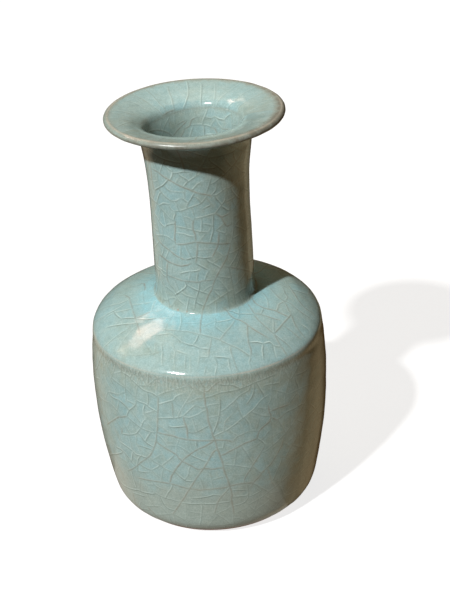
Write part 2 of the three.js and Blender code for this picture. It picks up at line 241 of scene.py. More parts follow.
# main crackle lines: kind, then degrees round the axis and mm along the profile
LINES = """
b -144.7,100.0 -137.0,100.3 -130.1,101.8 -121.9,103.3 -117.6,104.1 -111.2,105.5 -106.3,106.5 -100.2,107.5 -95.4,108.8 -90.1,109.8 -81.9,111.0 -77.4,111.8
l -122.7,104.2 -130.6,107.1 -139.6,110.0 -146.1,112.0
l -119.0,102.0 -117.1,99.8 -116.9,97.3
l -117.0,99.1 -112.2,98.8 -106.2,97.8 -98.6,97.8
l -106.1,105.5 -101.9,103.6 -97.2,102.0 -92.6,100.5 -88.2,99.1
l -95.0,105.5 -91.0,104.6 -87.7,103.8
l -75.9,101.0 -77.8,104.0 -79.7,106.8 -81.7,110.0
l -95.5,109.5 -97.0,111.1 -99.5,113.1 -102.7,115.2 -104.3,117.5
l -82.6,112.8 -87.4,114.8 -91.4,116.0 -96.6,116.8 -103.1,118.0 -110.5,119.5 -118.8,120.5
l -76.8,116.8 -81.5,117.5 -87.4,118.8
l -73.8,122.1 -81.4,122.5 -89.1,123.2 -97.7,123.8
b -99.4,123.5 -99.3,126.8 -99.1,130.0 -97.2,132.6 -97.2,136.6
l -118.5,128.9 -109.7,129.2 -99.1,130.2 -92.4,131.2 -82.6,131.7
l -82.6,131.5 -80.1,130.0 -78.2,128.7
l -119.0,132.6 -110.1,132.6 -104.2,133.5 -97.4,134.2
b -120.6,138.8 -112.3,138.5 -104.8,137.5 -97.7,136.8 -90.9,137.2 -80.7,138.0 -73.0,139.2 -56.5,140.8
b -122.6,138.1 -121.4,135.1 -119.9,131.6 -119.7,127.8 -118.9,125.8
b -155.2,138.2 -149.1,140.2 -140.4,141.8 -130.6,143.2 -121.0,145.5 -113.4,146.7 -109.7,147.0
l -149.3,136.4 -139.2,136.4 -131.5,135.9 -125.9,137.0 -122.5,137.8
l -155.2,126.2 -147.7,127.5 -143.3,129.5 -136.3,130.8 -133.0,130.9
l -141.2,120.0 -137.4,121.5 -132.1,122.8 -125.9,125.2 -120.1,126.1
l -137.2,110.5 -132.3,112.2 -127.5,113.6 -122.2,114.8
l -129.9,107.3 -125.3,108.8 -120.3,109.5
l -139.9,118.6 -132.9,117.5 -124.1,117.0
l -120.6,112.8 -115.8,114.6 -113.0,113.6 -109.4,112.6
l -108.1,113.3 -103.3,115.0
l -119.6,120.6 -123.4,119.8 -126.0,119.0
b -95.1,138.4 -96.2,141.8 -97.4,145.5 -98.8,148.7
l -107.1,144.9 -97.7,145.2 -89.2,146.1 -80.6,146.0
b -150.5,148.8 -140.9,148.9 -133.3,150.1 -123.2,150.7 -115.4,150.9 -107.6,149.8 -104.1,148.8
b -133.3,150.1 -135.1,153.9 -136.1,157.9 -137.3,160.8 -134.7,163.6
l -160.7,157.2 -146.9,157.0 -136.6,157.7
b -133.3,158.1 -124.7,158.8 -115.3,159.4 -105.5,159.4 -96.1,159.5 -90.2,158.7 -78.2,159.0
l -117.2,155.4 -109.6,154.0 -104.7,153.5
l -103.0,154.0 -97.7,153.1 -94.0,152.2
l -101.1,149.2 -92.7,150.7 -84.9,153.2
l -84.9,153.2 -88.2,156.1 -90.2,158.4
b -55.6,142.5 -63.2,148.2 -75.2,155.6 -80.4,160.4 -82.9,164.2 -87.3,167.0 -90.7,170.5 -93.7,173.1 -95.0,175.0
l -112.2,160.2 -110.6,161.7 -112.8,163.5 -119.0,165.9 -127.7,168.9
l -108.4,162.5 -103.1,163.7 -98.0,164.7 -91.2,165.8 -86.7,166.7
l -95.6,160.1 -97.4,164.4 -100.9,168.5 -103.0,171.7 -103.6,173.9
l -119.2,167.0 -113.0,167.9 -103.7,168.2
l -127.9,169.8 -122.3,171.2 -116.5,172.4
l -102.4,170.8 -97.7,171.6 -93.7,172.4
l -152.2,158.9 -144.5,159.6 -140.6,159.8
l -150.9,163.1 -144.1,165.8 -142.6,166.9
l -134.7,163.6 -129.2,165.0 -128.7,165.8
l -70.5,107.1 -71.9,109.5 -75.1,111.5
l -59.0,109.5 -65.4,110.8 -71.5,112.1 -75.1,113.3
l -59.9,112.8 -60.7,116.1 -67.3,118.8 -71.2,120.8 -72.1,123.0
b -73.2,122.2 -66.8,124.8 -60.8,124.5 -55.5,124.2
l -55.1,120.8 -55.9,124.2
b -66.8,124.8 -63.4,129.0 -61.1,130.7 -54.2,130.2
l -63.4,129.0 -69.4,130.2 -74.4,131.6
l -75.6,123.2 -76.8,127.5 -77.3,131.7 -79.4,134.4 -81.1,138.2
l -72.3,133.5 -62.9,134.5 -59.9,132.6
b -71.6,133.6 -72.2,137.8 -73.8,140.5 -76.9,146.0
l -50.4,126.1 -51.5,133.2 -53.2,137.2 -56.5,140.8
b -186.4,193.2 -180.5,190.2 -167.6,189.8 -155.7,191.2 -148.3,193.1 -140.9,196.1 -136.3,198.8
l -177.2,191.8 -176.5,196.3 -179.1,201.5
l -173.6,193.1 -171.8,196.8 -171.4,200.2 -173.0,204.2
l -163.9,191.2 -167.2,196.0 -169.1,199.2
l -170.4,200.3 -165.6,199.3 -159.8,198.2
l -169.2,200.8 -170.4,204.3 -169.2,206.8
l -152.7,192.8 -158.0,196.3 -159.1,199.1
l -147.0,194.6 -154.0,199.2 -158.6,203.2 -162.0,206.6
b -200.5,188.1 -201.5,184.6 -191.8,182.1 -186.2,182.1
l -196.8,192.2 -197.9,188.2 -204.8,182.5
l -168.8,189.5 -164.1,183.1 -161.3,179.5
b -152.2,192.0 -150.4,188.2 -149.9,185.2 -148.4,183.0
l -150.5,192.0 -143.0,188.2 -137.9,185.1
l -123.0,199.7 -121.7,202.1 -120.6,204.5
l -118.7,200.0 -116.2,203.7 -114.2,210.0
l -111.6,198.8 -109.0,202.6 -108.6,206.2 -107.3,210.3
b -124.1,190.5 -116.3,189.6 -111.4,189.3 -104.9,189.1 -99.4,190.2 -94.9,191.0 -91.4,192.1 -88.0,193.2 -83.7,195.0 -79.9,197.8 -77.3,199.7 -73.8,202.1 -70.9,205.2 -68.3,208.2
l -126.2,195.5 -121.5,193.7 -117.2,192.3
l -116.9,191.7 -111.7,194.2 -106.7,197.2
b -98.3,176.3 -96.1,181.2 -95.8,186.9 -95.0,189.8
l -68.3,208.2 -70.1,211.0 -69.9,214.3
b -69.6,174.8 -67.2,176.7 -66.7,179.6 -64.7,183.1 -61.5,185.0 -59.4,188.2 -58.7,191.3 -57.1,195.0 -55.3,198.3 -53.5,201.2
l -52.3,175.5 -54.3,178.4 -60.4,182.9 -64.6,184.7
l -64.0,174.8 -62.2,177.4 -59.3,179.9 -54.1,181.7 -46.5,184.7
b -66.2,185.0 -72.6,188.3 -76.0,190.1 -79.5,192.8 -82.0,194.8
l -82.0,180.4 -82.2,182.9 -84.1,185.2
l -85.9,186.6 -81.6,188.5 -78.3,191.2
l -119.1,176.5 -113.7,182.3 -111.1,188.6
l -96.4,191.2 -97.6,195.1 -99.3,197.6
b -88.1,194.0 -88.9,198.7 -89.9,201.6 -90.3,205.1
l -109.0,196.1 -103.6,197.8 -98.8,198.5 -95.1,200.2
l -95.1,200.2 -89.8,200.3
l -95.1,200.2 -95.2,205.0 -95.6,209.5
l -95.2,205.0 -90.3,205.6
l -87.4,205.2 -86.3,207.7 -86.3,210.0
l -87.4,205.2 -82.4,206.0 -79.9,206.8
l -79.9,206.8 -80.2,209.2 -80.0,214.2
b -77.3,199.7 -77.8,202.8 -77.7,206.3 -77.4,209.8 -77.1,214.1
b -60.5,190.0 -63.9,196.2 -66.0,200.8 -66.5,204.6 -67.1,207.7
l -91.8,210.2 -92.6,214.5
l -86.6,210.2 -87.6,215.2
l -100.0,205.6 -99.2,212.8
l -102.7,203.6 -102.1,211.2
l -109.4,201.7 -102.7,203.6
b -39.0,175.8 -41.0,179.4 -45.6,184.7 -42.1,187.0 -39.8,190.8 -38.5,193.6 -35.9,197.0
b -46.8,185.4 -48.6,190.0 -48.9,194.2 -48.6,197.8 -48.1,201.2
b -48.1,201.2 -48.9,204.6 -49.6,208.2 -49.6,214.5
b -48.1,201.2 -47.3,204.5 -46.1,207.5 -45.2,212.0
b -47.7,201.0 -43.3,200.3 -36.3,199.3 -29.6,199.1 -25.0,199.1
b -28.0,176.2 -32.3,179.4 -33.3,183.2 -32.9,185.6 -31.5,188.1 -30.1,190.7 -30.0,193.7 -29.6,196.7 -29.2,198.8
b -1.0,183.7 -6.9,185.8 -13.2,189.2 -15.2,192.2 -23.7,197.0 -24.5,198.8
b -16.7,191.5 -20.8,190.7 -28.9,192.2
b -12.3,192.6 -15.4,195.8 -17.9,199.3 -18.8,203.5 -18.3,207.6 -18.5,210.1
b 3.9,190.8 -5.2,192.0 -9.1,193.7 -12.5,193.2
b 6.2,194.5 -1.1,196.5 -8.6,199.2 -11.9,202.3 -13.2,205.3 -12.6,209.2
l 1.9,196.2 1.5,200.0 3.1,205.0
l -9.4,204.0 -11.8,206.0
b -38.6,198.8 -37.4,203.6 -36.9,207.2 -36.2,211.1
b -25.6,199.7 -30.0,202.6 -31.9,205.1 -32.7,208.6 -33.1,212.3
l -28.2,206.1 -27.1,209.2 -27.3,211.7 -29.2,212.8
l -38.6,194.1 -45.8,199.2 -47.4,200.7
l -33.6,185.8 -42.3,187.5
l -11.1,179.6 -17.5,183.0 -31.5,188.1
l -64.8,200.7 -61.2,201.8 -58.1,203.8
l -58.1,203.8 -60.6,206.8 -62.0,210.5
l -56.2,203.0 -54.0,204.2 -53.5,205.8 -55.0,208.7 -55.9,212.2
l -54.0,206.5 -50.4,208.7
b -115.6,231.1 -115.7,233.6 -115.7,236.3 -116.1,239.8 -116.4,244.4 -116.8,249.8 -117.6,253.6 -118.2,258.2 -119.4,261.9 -121.2,266.4 -123.0,269.4 -126.1,272.9 -128.8,275.6 -132.1,279.6 -136.2,283.8 -140.7,287.6
l -128.2,236.4 -125.7,236.8 -122.6,236.9 -120.6,238.2 -118.2,239.2 -116.2,240.4
l -134.5,248.6 -131.1,250.2 -128.0,251.8 -125.2,252.9 -122.2,253.1 -119.5,253.3 -117.4,252.9
b -154.3,264.4 -149.0,259.6 -144.8,255.7 -141.1,252.2 -138.1,250.7 -134.6,248.8
l -140.1,241.1 -137.2,241.6 -134.8,242.4 -132.8,244.2
l -134.5,238.6 -132.2,238.8 -129.8,239.1 -128.2,239.1
l -128.2,237.1 -128.1,238.9 -130.3,241.8 -132.6,244.2 -133.6,246.1 -134.7,248.4
l -147.8,246.8 -144.0,247.7 -141.2,248.8 -138.8,250.8
l -148.8,240.7 -144.7,239.2 -141.1,238.3
l -148.5,241.3 -146.3,241.8 -143.3,241.8 -140.1,241.1
l -146.5,231.1 -144.8,232.2 -143.7,233.4
l -137.0,223.4 -134.1,223.7 -131.8,224.1 -130.8,225.4 -128.8,226.2 -126.7,227.2 -124.1,228.8 -121.7,229.4 -118.9,229.4 -116.1,230.1
l -129.6,221.4 -127.4,221.8 -125.7,222.6
l -126.1,227.1 -122.4,226.3 -119.6,225.8
l -126.4,252.2 -124.2,247.8 -122.9,246.3
l -123.6,243.3 -121.2,241.6 -118.9,240.3 -117.8,239.6
l -124.2,242.4 -123.7,240.3 -122.8,237.6
l -140.3,262.4 -135.0,260.6 -131.5,258.8 -129.2,257.2 -126.5,253.1
b -140.5,258.4 -139.2,259.2 -141.0,263.1
l -144.1,255.8 -140.5,258.4
l -137.2,255.4 -135.2,257.2 -133.2,259.6
l -128.5,256.4 -126.2,258.6 -124.7,260.6 -120.6,262.6
l -120.9,253.3 -123.1,257.8 -124.4,260.6
l -120.9,229.9 -120.9,233.1 -121.4,237.2
b -93.2,223.2 -93.2,225.6 -93.4,227.7 -93.1,230.3 -93.0,233.7 -92.4,235.8 -92.2,238.7 -92.2,241.7 -91.7,244.8 -90.8,248.7 -90.4,251.8 -89.5,254.8 -89.0,258.1 -88.7,260.2 -87.9,263.1 -87.5,265.4 -86.7,268.4 -86.2,271.4 -86.2,273.6 -85.7,276.1 -84.8,279.6 -84.2,282.4 -83.6,285.9 -82.9,289.4 -82.5,292.6 -83.0,295.6 -82.6,298.6 -82.1,301.9 -81.7,307.1
l -115.6,228.7 -111.4,227.3 -108.2,226.1 -105.9,224.9 -103.8,224.1 -101.2,223.2
l -115.6,235.3 -111.6,233.3 -109.2,232.2 -107.5,231.3 -107.0,229.8 -105.1,228.3 -103.9,227.8
l -107.5,231.7 -106.4,233.2 -105.6,234.9
l -116.4,243.8 -112.6,242.8 -109.8,242.2 -107.0,241.7 -104.7,240.9 -103.5,240.2
l -103.5,240.2 -101.8,238.2 -100.2,236.3 -98.8,234.8 -97.6,233.8
l -97.6,233.8 -96.1,234.7 -95.0,235.2 -92.8,235.1
l -103.6,242.6 -101.1,241.2 -98.8,240.2 -96.2,238.8 -94.7,237.4 -92.4,236.2
b -103.5,240.2 -103.4,242.8 -102.6,245.7 -102.1,248.2 -102.2,251.8 -102.0,254.3
l -110.6,247.6 -108.7,247.7 -106.6,247.2 -104.7,246.8 -102.5,246.2
b -117.2,252.7 -114.2,252.8 -112.1,252.8 -109.5,252.9 -106.7,253.8 -104.2,254.2 -101.7,254.6 -99.1,254.6 -96.4,254.8 -93.2,254.9 -89.5,254.8 -87.6,254.9 -85.1,255.3 -83.1,255.9 -81.4,257.1
l -102.2,250.2 -99.7,250.1 -97.4,249.4 -95.8,248.2 -94.5,247.3 -91.7,245.6
l -92.2,240.8 -90.2,240.7 -87.1,240.4
l -86.2,229.2 -86.2,234.2 -86.6,238.4 -86.9,240.4 -87.7,243.4 -88.5,246.2 -89.4,248.4 -90.2,251.2
l -93.0,229.8 -89.7,228.7 -87.8,227.8 -85.2,227.1 -80.6,226.9 -77.7,226.7 -75.2,226.3 -72.0,225.6 -69.0,224.8 -65.5,224.6 -61.8,224.2 -57.8,224.2
b -93.2,225.8 -91.5,225.7 -89.8,223.9 -88.2,222.3 -86.0,220.7
l -86.5,238.3 -84.1,236.8 -82.0,234.8 -79.8,233.1 -77.9,231.2 -76.0,229.7 -74.1,229.1 -72.4,228.4 -70.7,225.2
l -90.1,252.1 -86.2,250.4 -83.2,249.1 -81.0,247.4 -79.1,246.1 -76.8,243.9 -74.4,242.6 -72.5,241.1 -70.5,239.8 -68.7,237.9 -67.4,236.4 -65.6,235.3 -62.6,234.2
l -98.4,254.8 -98.2,257.2 -98.0,260.2
l -87.2,223.4 -83.2,223.3 -80.0,223.7 -77.0,223.7
l -69.5,225.2 -69.9,229.8 -70.8,232.1 -72.1,233.9 -73.6,235.8
l -80.9,240.2 -82.8,242.2 -84.4,244.2 -85.2,249.8
b -63.0,239.6 -62.8,243.7 -61.9,246.7 -62.6,249.8 -64.8,251.1 -66.8,252.4 -68.4,253.9 -69.2,256.4 -69.4,257.9
l -68.9,252.8 -72.4,252.4 -75.0,252.9 -77.2,253.6 -79.2,254.2 -81.4,257.1
l -59.6,224.8 -59.9,228.6 -60.6,232.2 -60.9,235.3 -61.6,237.8 -63.0,239.6
b -62.2,243.8 -59.9,243.7 -57.1,243.7 -54.4,244.1 -51.0,244.4
b -61.8,247.7 -58.8,250.6 -56.1,249.9 -54.2,248.8
l -71.0,242.1 -66.9,244.8 -64.4,245.9 -61.9,246.7
l -75.4,243.6 -73.4,247.4 -72.6,252.3
l -64.9,228.2 -62.6,228.2 -60.1,228.8 -56.9,229.4 -55.4,229.6
l -68.1,224.8 -66.4,230.2 -65.4,232.2 -65.2,234.9
b -118.2,258.2 -116.2,260.1 -113.2,261.9 -111.0,263.1 -108.2,264.9 -107.6,266.4 -105.9,268.4 -104.1,269.6 -101.9,270.8 -100.1,272.4 -98.2,273.4 -95.8,272.6 -93.5,272.9 -91.5,273.4 -89.2,272.9 -86.2,272.9
l -123.4,269.9 -120.7,272.2 -118.0,273.4 -115.5,275.1 -113.2,276.2 -110.6,276.9
b -89.5,254.8 -92.5,256.9 -94.4,258.4 -96.7,259.6 -98.7,260.9 -100.9,262.9 -102.9,264.9 -104.6,266.6 -105.9,268.6 -107.2,270.8 -108.6,272.9 -110.0,275.6 -112.2,279.9 -113.6,285.1
l -106.4,254.2 -107.7,258.9 -108.2,264.2
l -142.5,269.1 -138.8,269.2 -136.2,269.6 -133.2,270.6 -131.5,271.8 -128.5,271.4 -124.2,270.8
l -147.5,275.1 -143.1,274.2 -140.0,274.9 -137.8,276.6 -136.1,278.4 -133.0,280.2
l -128.2,271.9 -130.6,274.8 -133.2,277.9
l -130.0,277.1 -128.2,278.1 -125.5,278.9 -123.1,278.9
l -131.2,279.1 -132.1,283.4 -128.6,282.6 -125.2,281.4
b -133.8,288.8 -131.1,288.1 -126.9,287.2 -123.0,286.4 -119.2,285.8 -115.2,285.4 -111.7,285.4 -107.1,286.4 -103.7,287.1
l -123.7,286.6 -122.8,289.2 -120.2,290.6 -117.7,290.8
l -129.0,287.9 -127.5,290.8 -123.0,289.6
l -124.1,294.9 -121.0,296.4 -117.5,297.1 -114.0,297.1 -110.1,297.9 -108.5,296.9
l -112.2,285.6 -113.2,289.1 -115.2,292.2 -117.5,297.1
l -141.5,303.9 -136.0,302.4 -131.2,301.4
l -136.0,307.6 -132.5,308.9 -126.4,306.4 -122.1,304.8
l -121.0,296.4 -119.2,302.9 -116.8,304.9 -113.6,305.1
b -88.6,259.9 -90.7,262.2 -92.0,264.9 -93.2,267.6 -94.5,270.1 -95.8,272.6 -97.2,275.1 -98.8,277.9 -100.4,280.9 -102.1,284.4 -103.5,286.9 -105.0,289.9 -106.5,293.2 -108.5,296.9 -111.6,302.4 -115.2,308.6
b -87.5,264.9 -85.4,264.1 -83.1,262.6 -81.0,261.6 -78.7,260.6 -75.8,259.2 -72.7,258.6 -69.2,257.9
l -88.6,259.9 -87.2,259.8 -86.2,260.6 -85.7,258.8 -85.1,255.6
l -86.1,271.1 -82.7,271.9 -79.5,272.9 -76.5,274.4 -73.1,275.9
b -83.6,285.9 -80.9,285.4 -78.2,285.2 -75.7,285.6 -71.5,286.6
b -83.6,286.1 -86.0,286.6 -88.2,286.6 -90.7,286.8 -93.0,287.2 -96.4,287.4 -98.8,287.8 -103.1,286.9
b -83.4,286.4 -85.5,289.6 -87.2,291.9 -88.8,294.1 -89.9,296.9 -90.5,299.2 -92.0,304.9
l -102.9,293.9 -100.1,293.6 -97.2,293.1 -94.2,292.4 -91.9,291.4 -87.9,292.6
l -108.9,298.4 -102.8,298.4 -98.2,297.8 -94.6,298.1 -90.2,297.9 -87.7,297.4 -82.9,297.4
l -110.1,276.1 -107.9,279.1 -106.4,280.6 -104.8,281.9 -100.9,281.9
l -69.2,258.2 -66.6,261.4 -65.4,263.4
b -65.4,263.4 -67.0,266.4 -68.5,268.9 -70.0,271.4 -71.8,274.1 -73.2,276.8 -74.8,279.4 -76.2,282.6 -76.6,285.4
b -54.9,263.8 -55.6,267.6 -57.0,269.4 -59.0,272.6 -60.6,274.9 -61.9,277.1 -64.1,278.6 -66.1,280.1 -67.5,281.9 -69.0,283.8 -70.6,285.2 -71.5,286.6 -73.0,289.4
l -74.5,286.1 -74.2,291.4 -74.1,296.9 -75.9,299.4 -78.6,300.4 -82.2,300.9
l -83.0,288.9 -80.4,289.4 -76.2,290.4 -74.2,290.9
l -233.5,61.5 -232.3,53.8 -230.3,47.7 -230.0,43.5 -229.7,41.5
l -250.4,57.6 -248.1,52.1 -246.8,47.4 -243.3,42.7 -242.6,39.6 -241.5,37.7
l -266.4,61.6 -266.4,54.1 -265.1,47.5 -260.4,42.4 -255.8,39.7
l -209.1,59.9 -210.0,55.6 -209.8,52.0 -208.4,48.3 -208.5,46.3
l -187.9,62.0 -189.3,56.6 -188.6,52.7 -189.2,50.2
l 82.5,57.2 81.5,49.5 81.0,45.1 80.3,39.8
l 71.8,57.4 66.8,47.8 64.0,42.8
l 12.9,51.7 13.0,56.1 9.8,59.7
b -221.5,39.5 -231.2,40.3 -240.3,40.5
b -240.4,32.0 -251.8,33.1 -257.9,33.5
b -253.5,29.1 -262.3,30.1 -265.3,33.3 88.1,34.2
l -265.3,28.7 83.3,30.1 74.2,29.6 65.2,28.4
l 62.9,34.3 55.3,33.2 46.3,33.2
l 62.2,34.0 56.8,30.5 51.1,28.7
"""


# ---------------------------------------------------------------- crackle network
STEP = 0.9                       # mm between the points of a line
DS, NT = 0.5, 1024               # raster for finding lines: mm along the profile, columns round the wall
DT = TAU / NT
NS = int(S_END / DS) + 2
label = np.full((NS, NT), -1, np.int32)
taken = np.zeros((NS, NT), bool)
VT, VS, VC = np.zeros(120000), np.zeros(120000), np.full(120000, -1, np.int32)
count = 0
lines = []                       # (kind, order, first point, last point + 1)
FORCE = []                       # strength of each line

S0 = s_in(184.0)                 # the lines start this deep in the bore
B_NECK = s_out(214.4)            # where the mouth's glaze meets the neck's
B_SHOULDER = s_out(122.9)
B_BODY = s_out(104.4)


def bump_at(t, at, wide):
    """1 at an angle, 0 beyond a width from it, degrees."""
    a = np.abs((np.asarray(t, float) - math.radians(at) + math.pi) % TAU - math.pi)
    return 1 - smooth(0.0, math.radians(wide), a)


def wrap(t):
    return (np.asarray(t) - CUT) % TAU + CUT


def cells(t, s):
    i = np.clip((np.asarray(s) / DS).astype(int), 0, NS - 1)
    j = ((wrap(t) - CUT) / DT).astype(int) % NT
    return i, j


def nearest(t, s, reach, skip):
    """(distance, point, sideways, along) of the nearest point of another line, or None."""
    r = max(float(r_at(s)), 8.0)
    i0, i1 = max(0, int((s - reach) / DS)), min(NS, int((s + reach) / DS) + 2)
    k = int(reach / (r * DT)) + 1
    j = int((float(wrap(t)) - CUT) / DT)
    v = label[i0:i1][:, np.arange(j - k, j + k + 1) % NT]
    v = v[v >= 0]
    v = v[VC[v] != skip]
    if not v.size:
        return None
    dx = ((VT[v] - t + math.pi) % TAU - math.pi) * r
    dy = VS[v] - s
    d = np.hypot(dx, dy)
    k = int(d.argmin())
    return float(d[k]), int(v[k]), float(dx[k]), float(dy[k])


def add_line(kind, t, s, order, force=1.0):
    """Adds a line through these points, evenly stepped, and marks the raster."""
    global count
    t, s = np.asarray(t, float), np.asarray(s, float)
    length = np.concatenate([[0], np.cumsum(np.hypot(np.diff(t) * r_at(0.5 * (s[1:] + s[:-1])), np.diff(s)))])
    if length[-1] < 1.2:
        return 0
    n = max(2, int(round(length[-1] / STEP)))
    q = np.linspace(0, length[-1], n + 1)
    a, b = np.interp(q, length, t), np.interp(q, length, s)
    first = count
    VT[first:first + n + 1] = wrap(a)
    VS[first:first + n + 1] = b
    VC[first:first + n + 1] = len(lines)
    count += n + 1
    q2 = np.linspace(0, length[-1], max(2, int(length[-1] / 0.25)))
    i, j = cells(np.interp(q2, length, t), np.interp(q2, length, s))
    label[i, j] = first + np.minimum((q2 / length[-1] * n + 0.5).astype(int), n)
    for di in (-1, 0, 1):
        for dj in (-1, 0, 1):
            taken[np.clip(i + di, 0, NS - 1), (j + dj) % NT] = True
    lines.append((kind, order, first, count))
    FORCE.append(force)
    return n + 1


def rounded(t, s):
    """A nearly straight run through the points, with softened corners."""
    p = spline(list(zip(t * 40.0, s)), 8)
    q = np.linspace(0, len(t) - 1, len(p))
    k = np.arange(len(t))
    return 0.15 * p[:, 0] / 40.0 + 0.85 * np.interp(q, k, t), 0.15 * p[:, 1] + 0.85 * np.interp(q, k, s)


# main lines, (degrees round the axis, mm along the profile): b has a brown stain, l is a pale line whose pale edge is
# a painted highlight
for order, row in enumerate(LINES.split("\n")):
    if not row.strip():
        continue
    kind, *pts = row.split()
    pts = np.array([[float(v) for v in p.split(",")] for p in pts])
    t = np.unwrap(np.radians(pts[:, 0]))
    s = pts[:, 1]
    # ends that stop just short of an earlier line are joined to it
    for end in (0, -1):
        near = nearest(float(wrap(t[end])), float(s[end]), 1.8, -1) if count else None
        if near and near[0] > 0.05:
            t[end] += near[2] / float(r_at(s[end]))
            s[end] += near[3]
    a, b = rounded(t, s)
    add_line(kind, a, b, order)
# rows of points along the edges: the lip's crest and lower edge, and the edge of the shoulder, which carry worn glaze
# with a painted highlight on the crests and painted shade on the lip's lower edge
S_LOWER = float(S[I_LIP + int(np.argmax(R[I_LIP:I_LIP + 200]))])
S_RIDGE = s_out(106.15)
S_FOOT = s_out(124.3)
for k, s in enumerate((S_LIP + 0.35, S_LOWER, S_RIDGE, S_EDGE, S_FOOT)):
    t = np.linspace(CUT, CUT + TAU, 361)
    add_line("e", t, s + 0.12 * np.sin(3 * t + k) + 0.08 * np.sin(7 * t + 2 * k), 900 + k)
TRACED = len(lines)

# the rest of the wall cracks the way a glaze does: the widest open place cracks next, across its short way,
# and each new line runs square into the older ones
rows = np.arange(S0 + 1, S_END - 0.5, 2.0)
ct, cs = [], []
for s in rows:
    n = max(12, int(TAU * float(r_at(s)) / 2.0))
    ct.append(wrap((np.arange(n) + rng.uniform(-0.3, 0.3, n)) * TAU / n))
    cs.append(s + rng.uniform(-0.6, 0.6, n))
ct, cs = np.concatenate(ct), np.concatenate(cs)
cr = r_at(cs)
gap = np.full(len(ct), 60.0)


def spacing(s):
    """Wanted width of the cells, mm."""
    z = np.interp(s, S, Z)
    w = np.full(np.shape(s), 7.0)
    w = np.where(s < s_in(216.0), 5.4, w)
    w = np.where((s >= s_in(216.0)) & (s < S_LIP - 2), 13.5, w)
    w = np.where((s >= S_LIP - 2) & (s < s_out(210.0)), 9.0, w)
    w = np.where((s >= s_out(210.0)) & (z > 124), 5.6, w)
    w = np.where((s > s_out(124.0)) & (z > 105), 8.0, w)
    w = np.where((s > B_SHOULDER) & (z <= 105) & (z > 97.5), 3.4, w)
    w = np.where((s > B_SHOULDER) & (z <= 97.5) & (z > 22), 7.4, w)
    w = np.where((s > B_SHOULDER) & (z <= 22), 6.6, w)
    return w


# the lines on the side towards the camera are placed above, so few are added there
_, cn = surface(ct, cs, np.zeros(len(ct)))
shown = smooth(0.12, 0.34, cn @ -fwd) * ((cs > S_LIP) | (cs > s_in(207.0)))
want = spacing(cs) * rng.uniform(0.82, 1.22, len(cs)) * (1 - 0.12 * shown)
calm = shown * ((cs > s_out(122.0)) & (cs < s_out(106.5)))        # the shoulder shows few lines besides those above
want = want * (1 + 0.75 * calm)


def spread(first, last):
    """Lowers the open distance of the places near a new line."""
    idx = np.arange(first, last, 2)
    for part in np.array_split(idx, max(1, len(idx) // 12)):
        if not len(part):
            continue
        near = np.nonzero(np.abs(cs - VS[part].mean()) < np.ptp(VS[part]) / 2 + 16)[0]
        dx = ((ct[near][:, None] - VT[part][None] + math.pi) % TAU - math.pi) * cr[near][:, None]
        dy = cs[near][:, None] - VS[part][None]
        gap[near] = np.minimum(gap[near], np.sqrt((dx * dx + dy * dy).min(1)))


for kind, order, first, last in lines:
    spread(first, last)

RAY = np.arange(1.3, 34, 0.55)


def open_way(t, s, a):
    """Free lengths from a point in the directions a."""
    r = max(float(r_at(s)), 8.0)
    i, j = cells(t + np.cos(a)[:, None] * RAY / r, s + np.sin(a)[:, None] * RAY)
    hit = taken[i, j] | ((s + np.sin(a)[:, None] * RAY) > S_END) | ((s + np.sin(a)[:, None] * RAY) < S0)
    k = hit.argmax(1)
    return np.where(hit.any(1), RAY[k], RAY[-1])


def grow(t0, s0, phi, me, most):
    halves = []
    for turn in (0.0, math.pi):
        t, s, a = t0, s0, phi + turn
        bend = rng.normal(0, 0.010)
        pts, run = [], 0.0
        while run < most:
            near = nearest(t, s, 3.4, me)
            r = max(float(r_at(s)), 8.0)
            if near is not None:
                d, v, dx, dy = near
                off = (math.atan2(dy, dx) - a + math.pi) % TAU - math.pi
                if d < 1.25 and abs(off) < 1.35:
                    pts.append((t + dx / r, s + dy))
                    break
                if d < 0.7:
                    pts.append((t + dx / r, s + dy))
                    break
                if abs(off) < 1.0 and d < 2.6:
                    a += max(-0.22, min(0.22, off)) * 0.7
            bend = 0.95 * bend + rng.normal(0, 0.0055)
            if rng.random() < 0.035:
                a += rng.normal(0, 0.22)
            a += bend
            t += STEP * math.cos(a) / r
            s += STEP * math.sin(a)
            run += STEP
            if s <= S0 or s >= S_END:
                s = min(max(s, S0), S_END)
                pts.append((t, s))
                break
            pts.append((t, s))
        halves.append(pts)
    return halves[1][::-1] + [(t0, s0)] + halves[0]


tries = 0
while tries < 6000:
    tries += 1
    k = int((gap / want).argmax())
    if gap[k] / want[k] < 0.53:
        break
    t, s = float(ct[k]), float(cs[k])
    fan = rng.uniform(0, math.pi) + np.arange(9) * math.pi / 9
    way = open_way(t, s, fan) + open_way(t, s, fan + math.pi)
    z = float(np.interp(s, S, Z))
    if s_in(217.0) < s < S_LIP - 1:
        way = way * (1.9 - 1.5 * np.abs(np.sin(fan)))       # radial on the dish
    elif s > B_SHOULDER and 97 < z < 105:
        way = way * (1.7 - 1.2 * np.abs(np.sin(fan)))       # short uprights under the shoulder's edge
    a = float(fan[int((way * rng.uniform(0.75, 1.3, len(way))).argmin())])
    far = gap[k] > 7.5
    most = rng.uniform(30, 60) if far else rng.uniform(9, 30)
    pts = grow(t, s, a, len(lines), most)
    p = np.array(pts)
    brown = rng.random() < (0.62 if far else 0.16) * (1 - 0.8 * shown[k])
    n = add_line("b" if brown else "l", p[:, 0], p[:, 1], 1000 + tries, 1 - rng.uniform(0.1, 0.55) * shown[k] - 0.2 * calm[k])
    if n:
        spread(count - n, count)
    gap[k] = min(gap[k], 0.2)
print("crackle: %d lines, %d points" % (len(lines), count))

